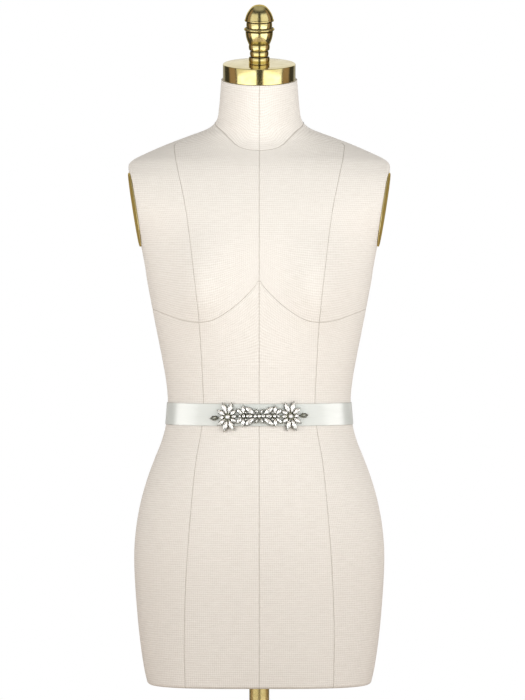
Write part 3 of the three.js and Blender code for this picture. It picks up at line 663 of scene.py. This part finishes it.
stand_brass = brass_material("stand_brass", 0.24, (40, 40, 1800))
pole_profile = [
    (POLE_LOW, 1), (POLE_LOW, POLE_RADIUS - POLE_EDGE), (POLE_LOW + POLE_EDGE, POLE_RADIUS),
    (POLE_HIGH - POLE_EDGE, POLE_RADIUS), (POLE_HIGH, POLE_RADIUS - POLE_EDGE), (POLE_HIGH, 1),
]
pole = new_piece("stand_pole", *closed_skin(lathe_rings(pole_profile, STAND_SIDES)), [stand_brass])
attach(pole, "root")
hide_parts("pole")

base_profile = (
    [(0, 1), (0, BASE_RADIUS - 1)]
    + arc(0.8, BASE_RADIUS, RIM_HEIGHT, BASE_RADIUS - 2, 0.4)
    + arc(RIM_HEIGHT, BASE_RADIUS - 3, DISH_HEIGHT, BOSS_RADIUS + 14, -6, 20)
    + arc(DISH_HEIGHT, BOSS_RADIUS + 13, BOSS_FOOT, BOSS_RADIUS, -3)
    + [(BOSS_HEIGHT - 2, BOSS_RADIUS - 3), (BOSS_HEIGHT, BOSS_RADIUS - 5),
       (BOSS_HEIGHT, POLE_BORE), (POLE_SEAT, POLE_BORE), (POLE_SEAT, 1)]
)
base = new_piece("stand_base", *closed_skin(lathe_rings(base_profile, STAND_SIDES)), [stand_brass])
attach(base, "root")
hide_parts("base")


# Sash: one length of double-faced satin ribbon, worn flat round the waist. Its heat-sealed end is
# lapped over its start at the centre back and held by a row of small hand stitches.

RIBBON_WIDTH, RIBBON_HEIGHT, RIBBON_DIP = 29.0, 539.0, 1.5
RIBBON_OUTER, RIBBON_INNER, RIBBON_EDGE = 1.3, 0.72, 0.92
RIBBON_LAP, RIBBON_RAMP, RIBBON_LIFT = 56.0, 26.0, 1.3
RIBBON_COLUMNS, RIBBON_ROWS, RIBBON_CLEAR = 420, 15, 0.3
SELVAGE, SELVAGE_FALL, LEAST_OFF = 0.8, 0.12, 0.35
SATIN_HOLLOW, SATIN_CREST = (0.49, 0.51, 0.485), (0.575, 0.60, 0.575)
# The selvage tone is painted shadow: both edges of the ribbon are darkened, standing for the thin
# shadow at its edges.
EDGE_SHADOW_TONE = (0.40, 0.40, 0.37)
FRONT, BACK = -np.pi / 2, np.pi / 2
# Soft troughs of the ribbon: place along it from the centre front, depth, length and how much
# of its width each one reaches up from the lower edge.
TROUGHS = ((-92, 0.35, 16, 0.9), (88, 0.30, 20, 0.7), (-152, 0.25, 24, 1.0), (139, 0.3, 18, 0.8),
           (210, 0.4, 22, 1.0), (-226, 0.35, 26, 0.7), (-292, 0.3, 16, 1.0), (281, 0.35, 20, 0.9))


def ribbon_edge(turn, side, off):
    """Point beside the ribbon at a turn: side is -1 at its lower edge and 1 at its upper edge,
    and off is the distance out from the form along the level section's normal."""
    height = RIBBON_HEIGHT - RIBBON_DIP * (0.5 - 0.5 * np.sin(turn)) + side * RIBBON_WIDTH / 2
    step = 0.01
    before, here, after = (form_point(turn + d, height) for d in (-step, 0.0, step))
    run = after - before
    out = unit(np.stack([run[..., 1], -run[..., 0], 0 * run[..., 0]], axis=-1))
    return here + out * np.asarray(off)[..., None]


def ribbon_point(turn, across, off):
    """Point of the ribbon, straight between its edges: across runs from -1 to 1."""
    low, high = ribbon_edge(turn, -1, off), ribbon_edge(turn, 1, off)
    across = np.asarray(across)[..., None]
    return low * (1 - across) / 2 + high * (1 + across) / 2


def satin_material():
    """Ivory satin: long smooth floats that run along the ribbon, so light spreads across it, with
    painted shadow darkening both its edges.
    """
    material, tree, shader = start_material("satin", (0.50, 0.52, 0.50), 0.36)
    along = add_node(tree, "ShaderNodeUVMap", uv_map="Ribbon").outputs["UV"]
    floats = stretched_noise(tree, along, (40, 5200, 1), 1.0)
    wide = stretched_noise(tree, along, (9, 60, 1), 1.0)
    tone = colour_ramp(tree, weigh(tree, (floats, 0.6), (wide, 0.4)), (0.30, SATIN_HOLLOW),
                       (0.70, SATIN_CREST))
    across = add_node(tree, "ShaderNodeSeparateXYZ", {"Vector": along}).outputs["Y"]
    # Painted shadow: a darker band along both edges of the ribbon, for the thin shadow at its
    # edges.
    edge_shadow = map_range(tree, calculate(tree, "ABSOLUTE", across),
                        (RIBBON_WIDTH / 2 - SELVAGE) * MM,
                        (RIBBON_WIDTH / 2 - SELVAGE / 2) * MM, 0.0, 1.0)
    tree.links.new(mix_colours(tree, edge_shadow, tone, EDGE_SHADOW_TONE), shader.inputs["Base Color"])
    add_relief(tree, shader, floats, 0.15, 0.0001)
    tangent = add_node(tree, "ShaderNodeTangent", direction_type="UV_MAP", uv_map="Ribbon")
    tree.links.new(tangent.outputs["Tangent"], shader.inputs["Tangent"])
    shader.inputs["Anisotropic"].default_value = 0.7
    shader.inputs["Anisotropic Rotation"].default_value = 0.25
    shader.inputs["Specular IOR Level"].default_value = 0.75
    shader.inputs["Sheen Weight"].default_value = 0.1
    shader.inputs["Sheen Roughness"].default_value = 0.4
    return material


def running_length(points):
    """Length of a line of points up to each of them."""
    return np.append(0, np.cumsum(np.linalg.norm(np.diff(points, axis=0), axis=-1)))


def back_radius():
    """Length of a radian of the ribbon at the centre back, which turns its lap into angles."""
    step = 0.05
    ends = ribbon_edge(np.array([BACK - step, BACK + step]), 0, np.full(2, RIBBON_CLEAR))
    return np.linalg.norm((ends[1] - ends[0])[:2]) / (2 * step)


def make_ribbon():
    """The ribbon's closed shell: a flat section with thin rounded selvages, carried once round the
    form from under its own end, which an eased step lifts a wall further out. A trough presses it
    in by a bell along its length that eases out up its width."""
    lap, ramp = RIBBON_LAP / back_radius(), RIBBON_RAMP / back_radius()
    along = np.linspace(0, 2 * np.pi + lap, RIBBON_COLUMNS)
    turn = BACK - lap / 2 + along
    share = np.clip((along - 2 * np.pi + ramp) / ramp, 0, 1)
    lift = RIBBON_LIFT * eased(share)

    across = np.linspace(-1, 1, RIBBON_ROWS)
    edge = 1 - SELVAGE / (RIBBON_WIDTH / 2)
    across = np.sort(np.append(across, (-edge, edge)))
    rim = np.clip((np.abs(across) - edge) / (1 - edge), 0, 1)
    outer = RIBBON_OUTER - SELVAGE_FALL * rim
    inner = RIBBON_INNER + (RIBBON_EDGE - RIBBON_INNER) * rim
    loop_across = np.concatenate([across, across[::-1]])
    loop_off = np.concatenate([outer, inner[::-1]])

    places = ribbon_point(turn, np.zeros_like(turn), np.full_like(turn, RIBBON_OUTER))
    length = running_length(places)
    front = np.interp(2 * np.pi - (BACK - lap / 2) + FRONT, along, length)
    press = np.zeros((len(turn), len(loop_across)))
    for place, depth, long, reach in TROUGHS:
        run = np.exp(-((length - front - place) / long) ** 2)
        rise = np.clip((reach * 2 - 1 - loop_across) * 1.5 + 0.5, 0, 1)
        press += depth * run[:, None] * eased(rise)
    press *= np.clip(1 - lift / RIBBON_LIFT, 0, 1)[:, None]
    off = loop_off + lift[:, None] - np.minimum(press, RIBBON_INNER - LEAST_OFF)
    rings = ribbon_point(turn[:, None], np.broadcast_to(loop_across, off.shape), off)
    points, faces = closed_skin(rings)
    piece = new_piece("sash_ribbon", points, faces, [satin_material()], sharp=60)

    v = loop_across * RIBBON_WIDTH / 2
    u = length[:, None] + 0 * v
    lay_cloth(piece, "Ribbon", np.stack([u, v + 0 * u], axis=-1) * MM,
              np.stack([u, np.roll(v, -1) + 0 * u], axis=-1) * MM)
    return piece, length[-1]


ribbon, ribbon_length = make_ribbon()
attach(ribbon, "root")
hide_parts("sash_band")


# Hand stitches at the lap: nine short arches of doubled thread, each from the upper layer's end
# down to the layer under it.

STITCHES, STITCH_SPREAD, STITCH_SLANT = 9, 0.88, 0.03
STITCH_REACH, STITCH_ARCH, STITCH_RADIUS, STITCH_SIDES, STITCH_STEPS = 1.5, 0.25, 0.16, 8, 9


def join_skins(skins):
    """Points and faces of several skins as those of one piece."""
    points, faces, used = [], [], 0
    for skin_points, skin_faces in skins:
        points.append(skin_points)
        faces += [[k + used for k in face] for face in skin_faces]
        used += len(skin_points)
    return np.vstack(points), faces


def stitch_rings(across):
    """Rings of a stitch: circles about a line that falls by the ribbon's lift from its end to the
    ribbon under it, bowed out as a sine."""
    share = np.linspace(0, 1, STITCH_STEPS)
    turn = BACK + (RIBBON_LAP / 2 + (share * 2 - 1) * STITCH_REACH) / back_radius()
    off = (RIBBON_OUTER + RIBBON_LIFT * np.clip(1.5 - 2 * share, 0, 1)
           + STITCH_ARCH * np.sin(np.pi * share))
    line = ribbon_point(turn, across + STITCH_SLANT * (share - 0.5), off)
    ahead = unit(np.gradient(line, axis=0))
    aside = unit(np.cross(ahead, [0.0, 0.0, 1.0]))
    above = np.cross(aside, ahead)
    phase = full_turn(STITCH_SIDES)[:, None, None]
    rings = line + STITCH_RADIUS * (np.cos(phase) * above - np.sin(phase) * aside)
    return np.swapaxes(rings, 0, 1)


thread, tree, shader = start_material("thread", (0.62, 0.62, 0.58), 0.6)
strands = stretched_noise(tree, object_places(tree), (1500, 1500, 4000))
add_relief(tree, shader, strands, 0.4, 0.0001)
places_across = np.linspace(-STITCH_SPREAD, STITCH_SPREAD, STITCHES)
stitches = new_piece("lap_stitches", *join_skins(closed_skin(stitch_rings(across))
                                                 for across in places_across), [thread])
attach(stitches, "root")


# Crystals of the applique: cut stones with silvered backs, boat-shaped and round, that claw cups
# hold. The applique is sewn to the ribbon at the centre front, and its two halves mirror each
# other but for small turns.

APPLIQUE_DROP, CUP_SEAT, CUP_FLOOR, STONE_LIFT = 1.5, 0.4, 1.2, 0.3
STONE_SEAT = CUP_SEAT + CUP_FLOOR + STONE_LIFT
FLOWER_OUT, FLOWER_STONE, PETAL_START = 40.5, 6.0, 4.4
KNOT_STEP, KNOT_STONE = 5.2, 4.2
SPRIG_OUT, SPRIG_STONE, SEED_OUT, SEED_STONE = 20.0, 4.0, 24.8, 3.2
BUD_OUT, BUD_UP, BUD_STONE = 17.0, 4.5, 2.8
# Petals of a flower by their turn from the outward one: turn, length, width.
PETALS = ((0, 7.2, 3.8), (36, 12.0, 5.4), (72, 15.0, 5.8), (108, 14.5, 5.8), (144, 9.0, 4.6),
          (180, 7.2, 3.8))
END_STONE = (13.1, 10.4, 5.6)
# Leaves of a sprig: name, place of the stalk on the stem, turn, stalk, length, width.
LEAVES = (("loop", 3.0, 38, 4.1, 15.0, 6.4), ("back_leaf", 20.0, 86, 2.9, 10.8, 4.4),
          ("fore_leaf", 20.0, 46, 2.9, 10.2, 4.2))
MIDDLE_LEAF = (8.0, 9.2, 4.2)
# The halves: name, side, how much lower the flower hangs, and its turn.
HALVES = (("left", -1, 1.2, -5), ("right", 1, 0.2, 3))
# The stones that are tinted dark.
SMOKY_STONES = ("left_end", "right_end")
# Rings of a boat-shaped or round stone: share of its outline, height, and half a step of turn.
STONE_RINGS = ((0.30, 0.0, 0), (0.74, 0.42, 1), (1.0, 0.78, 0), (1.0, 0.98, 0), (0.84, 1.80, 1),
               (0.60, 2.5, 0))
STONE_SIDES = 12
# The foot and two rings of three-sided facets lie under the girdle.
SILVERED_FACETS = 1 + 4 * STONE_SIDES

arc_turns = np.linspace(FRONT, FRONT + 1.3, 400)
arc_lengths = running_length(ribbon_point(arc_turns, 0 * arc_turns, 0 * arc_turns + RIBBON_OUTER))


def on_ribbon(u, v, w):
    """Point u along the ribbon's face from the centre front, v up it from its middle, w out."""
    u, v, w = np.broadcast_arrays(np.asarray(u, float), v, w)
    turn = FRONT + np.sign(u) * (np.interp(np.abs(u), arc_lengths, arc_turns) - FRONT)
    face = 0 * turn + RIBBON_OUTER
    low, high = ribbon_edge(turn, -1, face), ribbon_edge(turn, 1, face)
    step = 0.02
    run = ribbon_edge(turn + step, 0, face) - ribbon_edge(turn - step, 0, face)
    up = unit(high - low)
    out = unit(np.cross(run, up))
    return (low + high) / 2 + up * v[..., None] + out * w[..., None]


def stone_outline(stone, phase, share, grow, w):
    """Ring about a stone's place: an ellipse whose sides are drawn in to a point at each end for
    a boat-shaped stone, scaled by share and then grown all round."""
    u, v, angle, length, width, point = stone
    sin = np.sin(phase)
    along = (share * length / 2 + grow * (1 + point)) * np.cos(phase)
    aside = (share * width / 2 + grow) * sin * np.abs(sin) ** point
    cos_a, sin_a = math.cos(angle), math.sin(angle)
    return on_ribbon(u + along * cos_a - aside * sin_a,
                     v + along * sin_a + aside * cos_a - APPLIQUE_DROP, w)


def ray_stone(u, v, angle, start, length, width):
    """A boat-shaped stone that starts at a distance from a point and points away from it."""
    reach = start + length / 2
    return u + reach * math.cos(angle), v + reach * math.sin(angle), angle, length, width, 1


def round_stone(u, v, width):
    """A round stone: the ellipse of equal axes, with no points."""
    return u, v, 0.0, width, width, 0


def half_stones(label, side, drop, turn):
    """The stones of one half by name, from its flower to the middle of the applique."""
    def angle(degrees):
        """A turn in radians, mirrored on the left half."""
        return math.radians(degrees) if side > 0 else math.pi - math.radians(degrees)

    flower = (side * FLOWER_OUT, -drop)
    stones = {f"{label}_flower": round_stone(*flower, FLOWER_STONE)}
    for petal_turn, length, width in PETALS:
        for sign, place in ((1, "upper"), (-1, "lower")):
            if sign > 0 or petal_turn % 180:
                stones[f"{label}_petal_{place}_{petal_turn}"] = ray_stone(
                    *flower, angle(sign * petal_turn + turn), PETAL_START, length, width)
    stones[f"{label}_end"] = ray_stone(*flower, angle(turn), *END_STONE)
    for name, out, leaf_turn, stalk, length, width in LEAVES:
        for sign, place in ((1, "upper"), (-1, "lower")):
            stones[f"{label}_{name}_{place}"] = ray_stone(
                side * out, 0, angle(sign * leaf_turn), stalk, length, width)
    stones[f"{label}_middle_leaf"] = ray_stone(0, 0, angle(0), *MIDDLE_LEAF)
    stones[f"{label}_bud_upper"] = round_stone(side * BUD_OUT, BUD_UP, BUD_STONE)
    stones[f"{label}_bud_lower"] = round_stone(side * BUD_OUT, -BUD_UP, BUD_STONE)
    stones[f"{label}_sprig"] = round_stone(side * SPRIG_OUT, 0, SPRIG_STONE)
    stones[f"{label}_seed"] = round_stone(side * SEED_OUT, 0, SEED_STONE)
    stones[f"{label}_knot"] = round_stone(side * KNOT_STEP, 0, KNOT_STONE)
    return stones


def stone_mesh(stone):
    """Points and faces of a cut stone: rings of equal counts with three-sided facets between
    rings that are half a step apart, four-sided ones at the girdle, and a flat table and foot."""
    step = 2 * np.pi / STONE_SIDES
    rings = [stone_outline(stone, step * (np.arange(STONE_SIDES) + half / 2), share, 0,
                           STONE_SEAT + height) for share, height, half in STONE_RINGS]
    index = np.arange(STONE_SIDES)
    faces = [index[::-1].tolist()]
    for k, (lower, upper) in enumerate(zip(STONE_RINGS[:-1], STONE_RINGS[1:])):
        low, high = index + k * STONE_SIDES, index + (k + 1) * STONE_SIDES
        low_next, high_next = np.roll(low, -1), np.roll(high, -1)
        if lower[2] == upper[2]:
            cuts = [(low, low_next, high_next, high)]
        elif upper[2]:
            cuts = [(low, low_next, high), (low_next, high_next, high)]
        else:
            cuts = [(low, high_next, high), (low, low_next, high_next)]
        faces += [face for cut in cuts for face in np.stack(cut, axis=-1).tolist()]
    faces.append((index + (len(STONE_RINGS) - 1) * STONE_SIDES).tolist())
    return np.vstack(rings), faces


def crystal_glass(name, colour):
    """Polished lead crystal with faint rub marks."""
    glass, tree, shader = start_material(name, colour, 0.0)
    shader.inputs["Transmission Weight"].default_value = 1.0
    shader.inputs["IOR"].default_value = 1.5
    rubs = stretched_noise(tree, object_places(tree), (900, 900, 900))
    tree.links.new(map_range(tree, rubs, 0.4, 0.8, 0.0, 0.05), shader.inputs["Roughness"])
    return glass


def foil_material():
    """Silvered back of a stone, with faint wrinkles."""
    foil, tree, shader = start_material("crystal_foil", (1.0, 1.0, 0.98), 0.26, 0.6)
    wrinkles = stretched_noise(tree, object_places(tree), (700, 700, 700))
    add_relief(tree, shader, wrinkles, 0.1, 0.0002)
    return foil


def silver_backs(gems, facets):
    """Give the foil to the facets under the girdle of each stone of a piece, from the number of
    facets that a stone has."""
    foiled = np.arange(len(gems.data.polygons)) % facets < SILVERED_FACETS
    gems.data.polygons.foreach_set("material_index", foiled.astype(np.int32))


all_stones = {"knot": round_stone(0, 0, KNOT_STONE)}
for half in HALVES:
    all_stones.update(half_stones(*half))
foil = foil_material()
crystal = [crystal_glass("crystal", (1.0, 1.0, 0.99)), foil]
smoky_crystal = [crystal_glass("smoky_crystal", (0.20, 0.205, 0.175)), foil]
for label, stone in all_stones.items():
    points, faces = stone_mesh(stone)
    gem = new_piece(f"crystal_{label}", points, faces,
                    smoky_crystal if label in SMOKY_STONES else crystal, sharp=1)
    silver_backs(gem, len(faces))
    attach(gem, "root")
    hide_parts(f"stone_{label}")


# Fillers: four very small stones of the same cut that fill the middle between the large leaves,
# in cups of their own. They are too small for a piece each.

# Their turns about the middle, and stalk, length and width.
MIDDLE_TURNS = (62, 118, 242, 298)
MIDDLE_FILLER = (3.6, 6.4, 2.8)

fillers = [ray_stone(0, 0, math.radians(turn), *MIDDLE_FILLER) for turn in MIDDLE_TURNS]
filler_points, filler_faces = join_skins([stone_mesh(stone) for stone in fillers])
small_gems = new_piece("crystal_fillers", filler_points, filler_faces, crystal, sharp=1)
silver_backs(small_gems, len(filler_faces) // len(fillers))
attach(small_gems, "root")


# Metal of the applique: a cup with a thin wall and bent claws for each crystal, the stem and the
# two discs, cast in white metal, soldered, plated silver, and darkened in the hollows. Thread
# through its openings holds it on the ribbon.

CUP_SIDES, DISC_SIDES, STEM_SIDES, STEM_STEPS = 28, 40, 6, 90
STEM_WIDTH, STEM_REACH, FLOWER_BACKING = 1.6, 56.0, 17.0
CUP_WALL, CUP_IN, CUP_RISE = 0.20, 0.04, 0.85
CUP_OUT, CUP_BED, CUP_TOP = CUP_IN + CUP_WALL, CUP_SEAT + CUP_FLOOR * 0.6, STONE_SEAT + CUP_RISE
# Sections from the back to the front: share of the outline, growth all round, and height.
CUP_SECTION = ((0.3, 0, CUP_SEAT), (0.9, 0, CUP_SEAT), (1, CUP_OUT * 0.7, CUP_SEAT + 0.3),
               (1, CUP_OUT, CUP_TOP - 0.15), (1, (CUP_OUT + CUP_IN) / 2, CUP_TOP),
               (1, CUP_IN, CUP_TOP - 0.1), (1, CUP_IN * 0.5, CUP_BED + 0.2), (0.85, 0, CUP_BED),
               (0.3, 0, CUP_BED))
STALK_SECTION = ((0.6, 0, 0.7), (1.0, 0, 0.85), (1.0, 0, 1.1), (0.6, 0, 1.3))
DISC_SECTION = ((0.2, 0, 0.55), (0.97, 0, 0.55), (1.0, 0, 0.8), (0.97, 0, 1.05), (0.2, 0, 1.05))
# A claw from its foot to its tip: height, distance from the stone and share of its width.
CLAW_WIDTH = 0.42
CLAW_SECTION = ((CUP_SEAT + 0.4, 0.45, 1.0), (CUP_TOP, 0.50, 1.0), (CUP_TOP + 0.45, 0.28, 0.9),
                (CUP_TOP + 0.72, -0.25, 0.75), (CUP_TOP + 0.78, -0.62, 0.4))
BOAT_CLAWS, ROUND_CLAWS = (0, 68, 112, 180, 248, 292), (45, 135, 225, 315)
# A filler's stalk starts this far short of its stone, and is this long.
FILLER_STALK_START, FILLER_STALK = 4.0, 5.0
HOLLOW_SILVER, RUBBED_SILVER = (0.06, 0.06, 0.03), (0.45, 0.45, 0.34)


def setting_material():
    """Silver plate that has darkened to a warm grey away from where it is rubbed."""
    material, tree, shader = start_material("setting", (0.40, 0.38, 0.28), 0.25, 1.0)
    cloud = stretched_noise(tree, object_places(tree), (260, 260, 260), 3.0)
    tone = colour_ramp(tree, cloud, (0.40, HOLLOW_SILVER), (0.60, RUBBED_SILVER))
    tree.links.new(tone, shader.inputs["Base Color"])
    add_relief(tree, shader, cloud, 0.2, 0.0003)
    return material


def section_rings(stone, profile, sides):
    """Rings about a stone's place through a section."""
    phase = full_turn(sides)
    return np.array([stone_outline(stone, phase, share, grow, w) for share, grow, w in profile])


def claw_rings(stone, phase):
    """Rings of a claw: four-sided sections that rise outside the cup and bend over the crown."""
    turn = np.radians([phase])
    rings = []
    for w, grow, size in CLAW_SECTION:
        centre, ahead, above = (stone_outline(stone, turn, 1, grow + more, w + up)[0]
                                for more, up in ((0, 0), (0.1, 0), (0, 0.1)))
        ahead, above = unit(ahead - centre), unit(above - centre)
        aside = np.cross(above, ahead)
        half = CLAW_WIDTH / 2 * size
        rings.append([centre + aside * half * a + ahead * half * b
                      for a, b in ((1, 1), (1, -1), (-1, -1), (-1, 1))])
    return np.array(rings)


def stem_rings():
    """Rings of the stem: a six-sided wire along the middle of the stones from end to end, which
    falls to each flower in a straight line and then runs on at the flower's turn."""
    u = np.linspace(-STEM_REACH, STEM_REACH, STEM_STEPS)
    v = np.zeros_like(u)
    for _, side, drop, turn in HALVES:
        here = np.sign(u) == side
        fall = drop * np.clip((np.abs(u) - SPRIG_OUT) / (FLOWER_OUT - SPRIG_OUT), 0, 1)
        past = np.maximum(np.abs(u) - FLOWER_OUT, 0) * math.tan(math.radians(turn))
        v = np.where(here, past - fall, v)
    phase = full_turn(STEM_SIDES)[::-1]
    across = v[:, None] - APPLIQUE_DROP + STEM_WIDTH / 2 * np.cos(phase)
    rise = CUP_SEAT + CUP_FLOOR / 2 + CUP_FLOOR * 0.45 * np.sin(phase)
    return on_ribbon(u[:, None], across, rise)


def stalk_rings(u, v, angle, length):
    """Rings of a small stone's stalk: a boat-shaped bar that runs out from a point."""
    return section_rings(ray_stone(u, v, angle, 0, length, STEM_WIDTH), STALK_SECTION, CUP_SIDES)


set_stones = list(all_stones.values()) + fillers
rings = [section_rings(stone, CUP_SECTION, CUP_SIDES) for stone in set_stones]
for stone in set_stones:
    rings += [claw_rings(stone, phase) for phase in (BOAT_CLAWS if stone[5] else ROUND_CLAWS)]
rings.append(stem_rings())
rings += [section_rings(round_stone(side * FLOWER_OUT, -drop, FLOWER_BACKING), DISC_SECTION,
                        DISC_SIDES) for _, side, drop, _ in HALVES]
rings += [stalk_rings(side * BUD_OUT, 0, sign * math.pi / 2, BUD_UP)
          for side in (-1, 1) for sign in (-1, 1)]
for u, v, angle, length, _, _ in fillers:
    reach = length / 2 + FILLER_STALK_START
    rings.append(stalk_rings(u - reach * math.cos(angle), v - reach * math.sin(angle), angle,
                             FILLER_STALK))
setting = new_piece("applique_metal", *join_skins([closed_skin(each) for each in rings]),
                    [setting_material()], sharp=45)
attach(setting, "root")
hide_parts("applique_setting")


# Studio: a pale round floor under the stand, a surround painted with bright boxes that the brass
# and the crystals reflect and that is white to the camera, soft boxes, and the camera level with
# the form's middle, straight in front.

FLOOR_RADIUS = 1.25
CAMERA_PLACE = (0.0043, -4.2, 0.622)
VIEW_HEIGHT = 0.931
FRAME_HEIGHT = 36.0
FLOOR_SIDES, FLOOR_DROP = 96, 0.0003
WARM_SIDES, WARM_STRENGTH = (1, 0.66, 0.43, 1), 0.31
BOX_COLOUR, BETWEEN_BOXES = (1, 0.985, 0.955, 1), 0.05

turn = full_turn(FLOOR_SIDES)
ring = np.stack([np.cos(turn), np.sin(turn), 0 * turn - FLOOR_DROP / FLOOR_RADIUS], axis=-1)
floor_material, _, _ = start_material("floor", (0.60, 0.51, 0.44), 0.8)
floor = new_piece("floor", ring * FLOOR_RADIUS / MM, [list(range(FLOOR_SIDES))],
                  [floor_material])

world = bpy.data.worlds.new("studio")
bpy.context.scene.world = world
world.use_nodes = True
sky = world.node_tree
sky.nodes.clear()


def band(value, low, high, soft):
    """One inside a range of a value and zero outside it, with edges that ease over a width."""
    up = map_range(sky, value, low - soft, low + soft, 0.0, 1.0, interpolation_type="SMOOTHSTEP")
    down = map_range(sky, value, high - soft, high + soft, 1.0, 0.0,
                     interpolation_type="SMOOTHSTEP")
    return product(up, down)


def product(a, b):
    """One value times another."""
    return calculate(sky, "MULTIPLY", a, b)


direction = add_node(sky, "ShaderNodeTexCoord").outputs["Generated"]
xyz = add_node(sky, "ShaderNodeSeparateXYZ", {"Vector": direction})
# Bearing in degrees from straight in front, to the right, and rise in degrees over the horizon.
ahead = product(xyz.outputs["Y"], -1.0)
bearing = product(calculate(sky, "ARCTAN2", xyz.outputs["X"], ahead), 180 / math.pi)
aside = calculate(sky, "ABSOLUTE", bearing)
rise = product(calculate(sky, "ARCSINE", xyz.outputs["Z"]), 180 / math.pi)
level = weigh(sky, (band(rise, -38, -14, 3), 2.3), (band(rise, -14, 36, 3), 1.0))
left_box = product(band(bearing, -77, -10, 2), level)
right_box = product(band(bearing, 14, 78, 2), level)
beside = product(band(aside, 82, 110, 4), band(rise, -22, 45, 5))
overhead = band(rise, 52, 120, 8)
backdrop = weigh(sky, (band(rise, -20, 12, 4), 0.35), (band(rise, 12, 50, 4), 0.85))
behind = product(band(aside, 142, 200, 6), backdrop)
light = weigh(sky, (left_box, 0.95), (right_box, 1.05), (overhead, 0.4), (behind, 1.0))
light = calculate(sky, "ADD", light, BETWEEN_BOXES)
shown = add_node(sky, "ShaderNodeLightPath").outputs["Is Camera Ray"]
warm = add_node(sky, "ShaderNodeBackground", {
    "Color": WARM_SIDES, "Strength": product(beside, WARM_STRENGTH),
})
boxes = add_node(sky, "ShaderNodeBackground", {"Color": BOX_COLOUR, "Strength": light})
unlit = add_node(sky, "ShaderNodeAddShader", {0: warm.outputs[0], 1: boxes.outputs[0]})
plain = add_node(sky, "ShaderNodeBackground", {"Color": (1, 1, 1, 1), "Strength": 1.0})
mixed = add_node(sky, "ShaderNodeMixShader", {
    0: shown, 1: unlit.outputs[0], 2: plain.outputs[0],
})
add_node(sky, "ShaderNodeOutputWorld", {"Surface": mixed.outputs[0]})

# Soft boxes: name, place, width, height, power, colour, height that it is turned to, and
# whether it lights cloth and whether it is mirrored. The side strips gleam on the ribbon alone.
gleaming = bpy.data.collections.new("gleaming")
gleaming.objects.link(ribbon)
SOFT_BOXES = (
    ("left", (-1.2, -1.0, 0.78), 0.9, 0.9, 11.4, (1.0, 0.99, 0.99), 0.7, True, False),
    ("right", (1.25, -1.0, 0.78), 0.9, 0.9, 13.4, (0.99, 0.99, 1.0), 0.7, True, False),
    ("top", (0.15, -1.5, 2.2), 0.5, 0.5, 4.4, (1.0, 0.99, 0.97), 0.7, True, False),
    ("back", (0.3, 2.5, 2.0), 1.6, 1.6, 26.0, (1.0, 0.98, 0.95), 0.7, True, False),
    ("left_strip", (-1.9, -0.02, 0.62), 1.45, 1.2, 28.5, (1.0, 1.0, 1.0), 0.62, False, True),
    ("right_strip", (1.9, 0.04, 0.62), 1.45, 1.2, 26.5, (1.0, 1.0, 1.0), 0.62, False, True),
)
for name, place, wide, tall, power, colour, aim, lights, mirrored in SOFT_BOXES:
    lamp = bpy.data.lights.new(name, "AREA")
    lamp.shape = "RECTANGLE"
    lamp.size, lamp.size_y = wide, tall
    lamp.energy = power
    lamp.color = colour
    box = bpy.data.objects.new(name, lamp)
    bpy.context.scene.collection.objects.link(box)
    box.location = place
    away = box.location - Vector((0, 0, aim))
    box.rotation_euler = away.to_track_quat("Z", "Y").to_euler()
    box.visible_camera = False
    box.visible_diffuse = lights
    box.visible_glossy = mirrored
    if not lights:
        box.light_linking.receiver_collection = gleaming

# The picture stands upright, so its height takes up the sensor's width.
camera_data = bpy.data.cameras.new("camera")
camera_data.sensor_width = FRAME_HEIGHT
camera_data.lens = FRAME_HEIGHT * -CAMERA_PLACE[1] / VIEW_HEIGHT
camera = bpy.data.objects.new("camera", camera_data)
camera.location = CAMERA_PLACE
camera.rotation_euler = (math.pi / 2, 0, 0)
bpy.context.scene.collection.objects.link(camera)
bpy.context.scene.camera = camera
bpy.context.scene.view_settings.view_transform = "Standard"
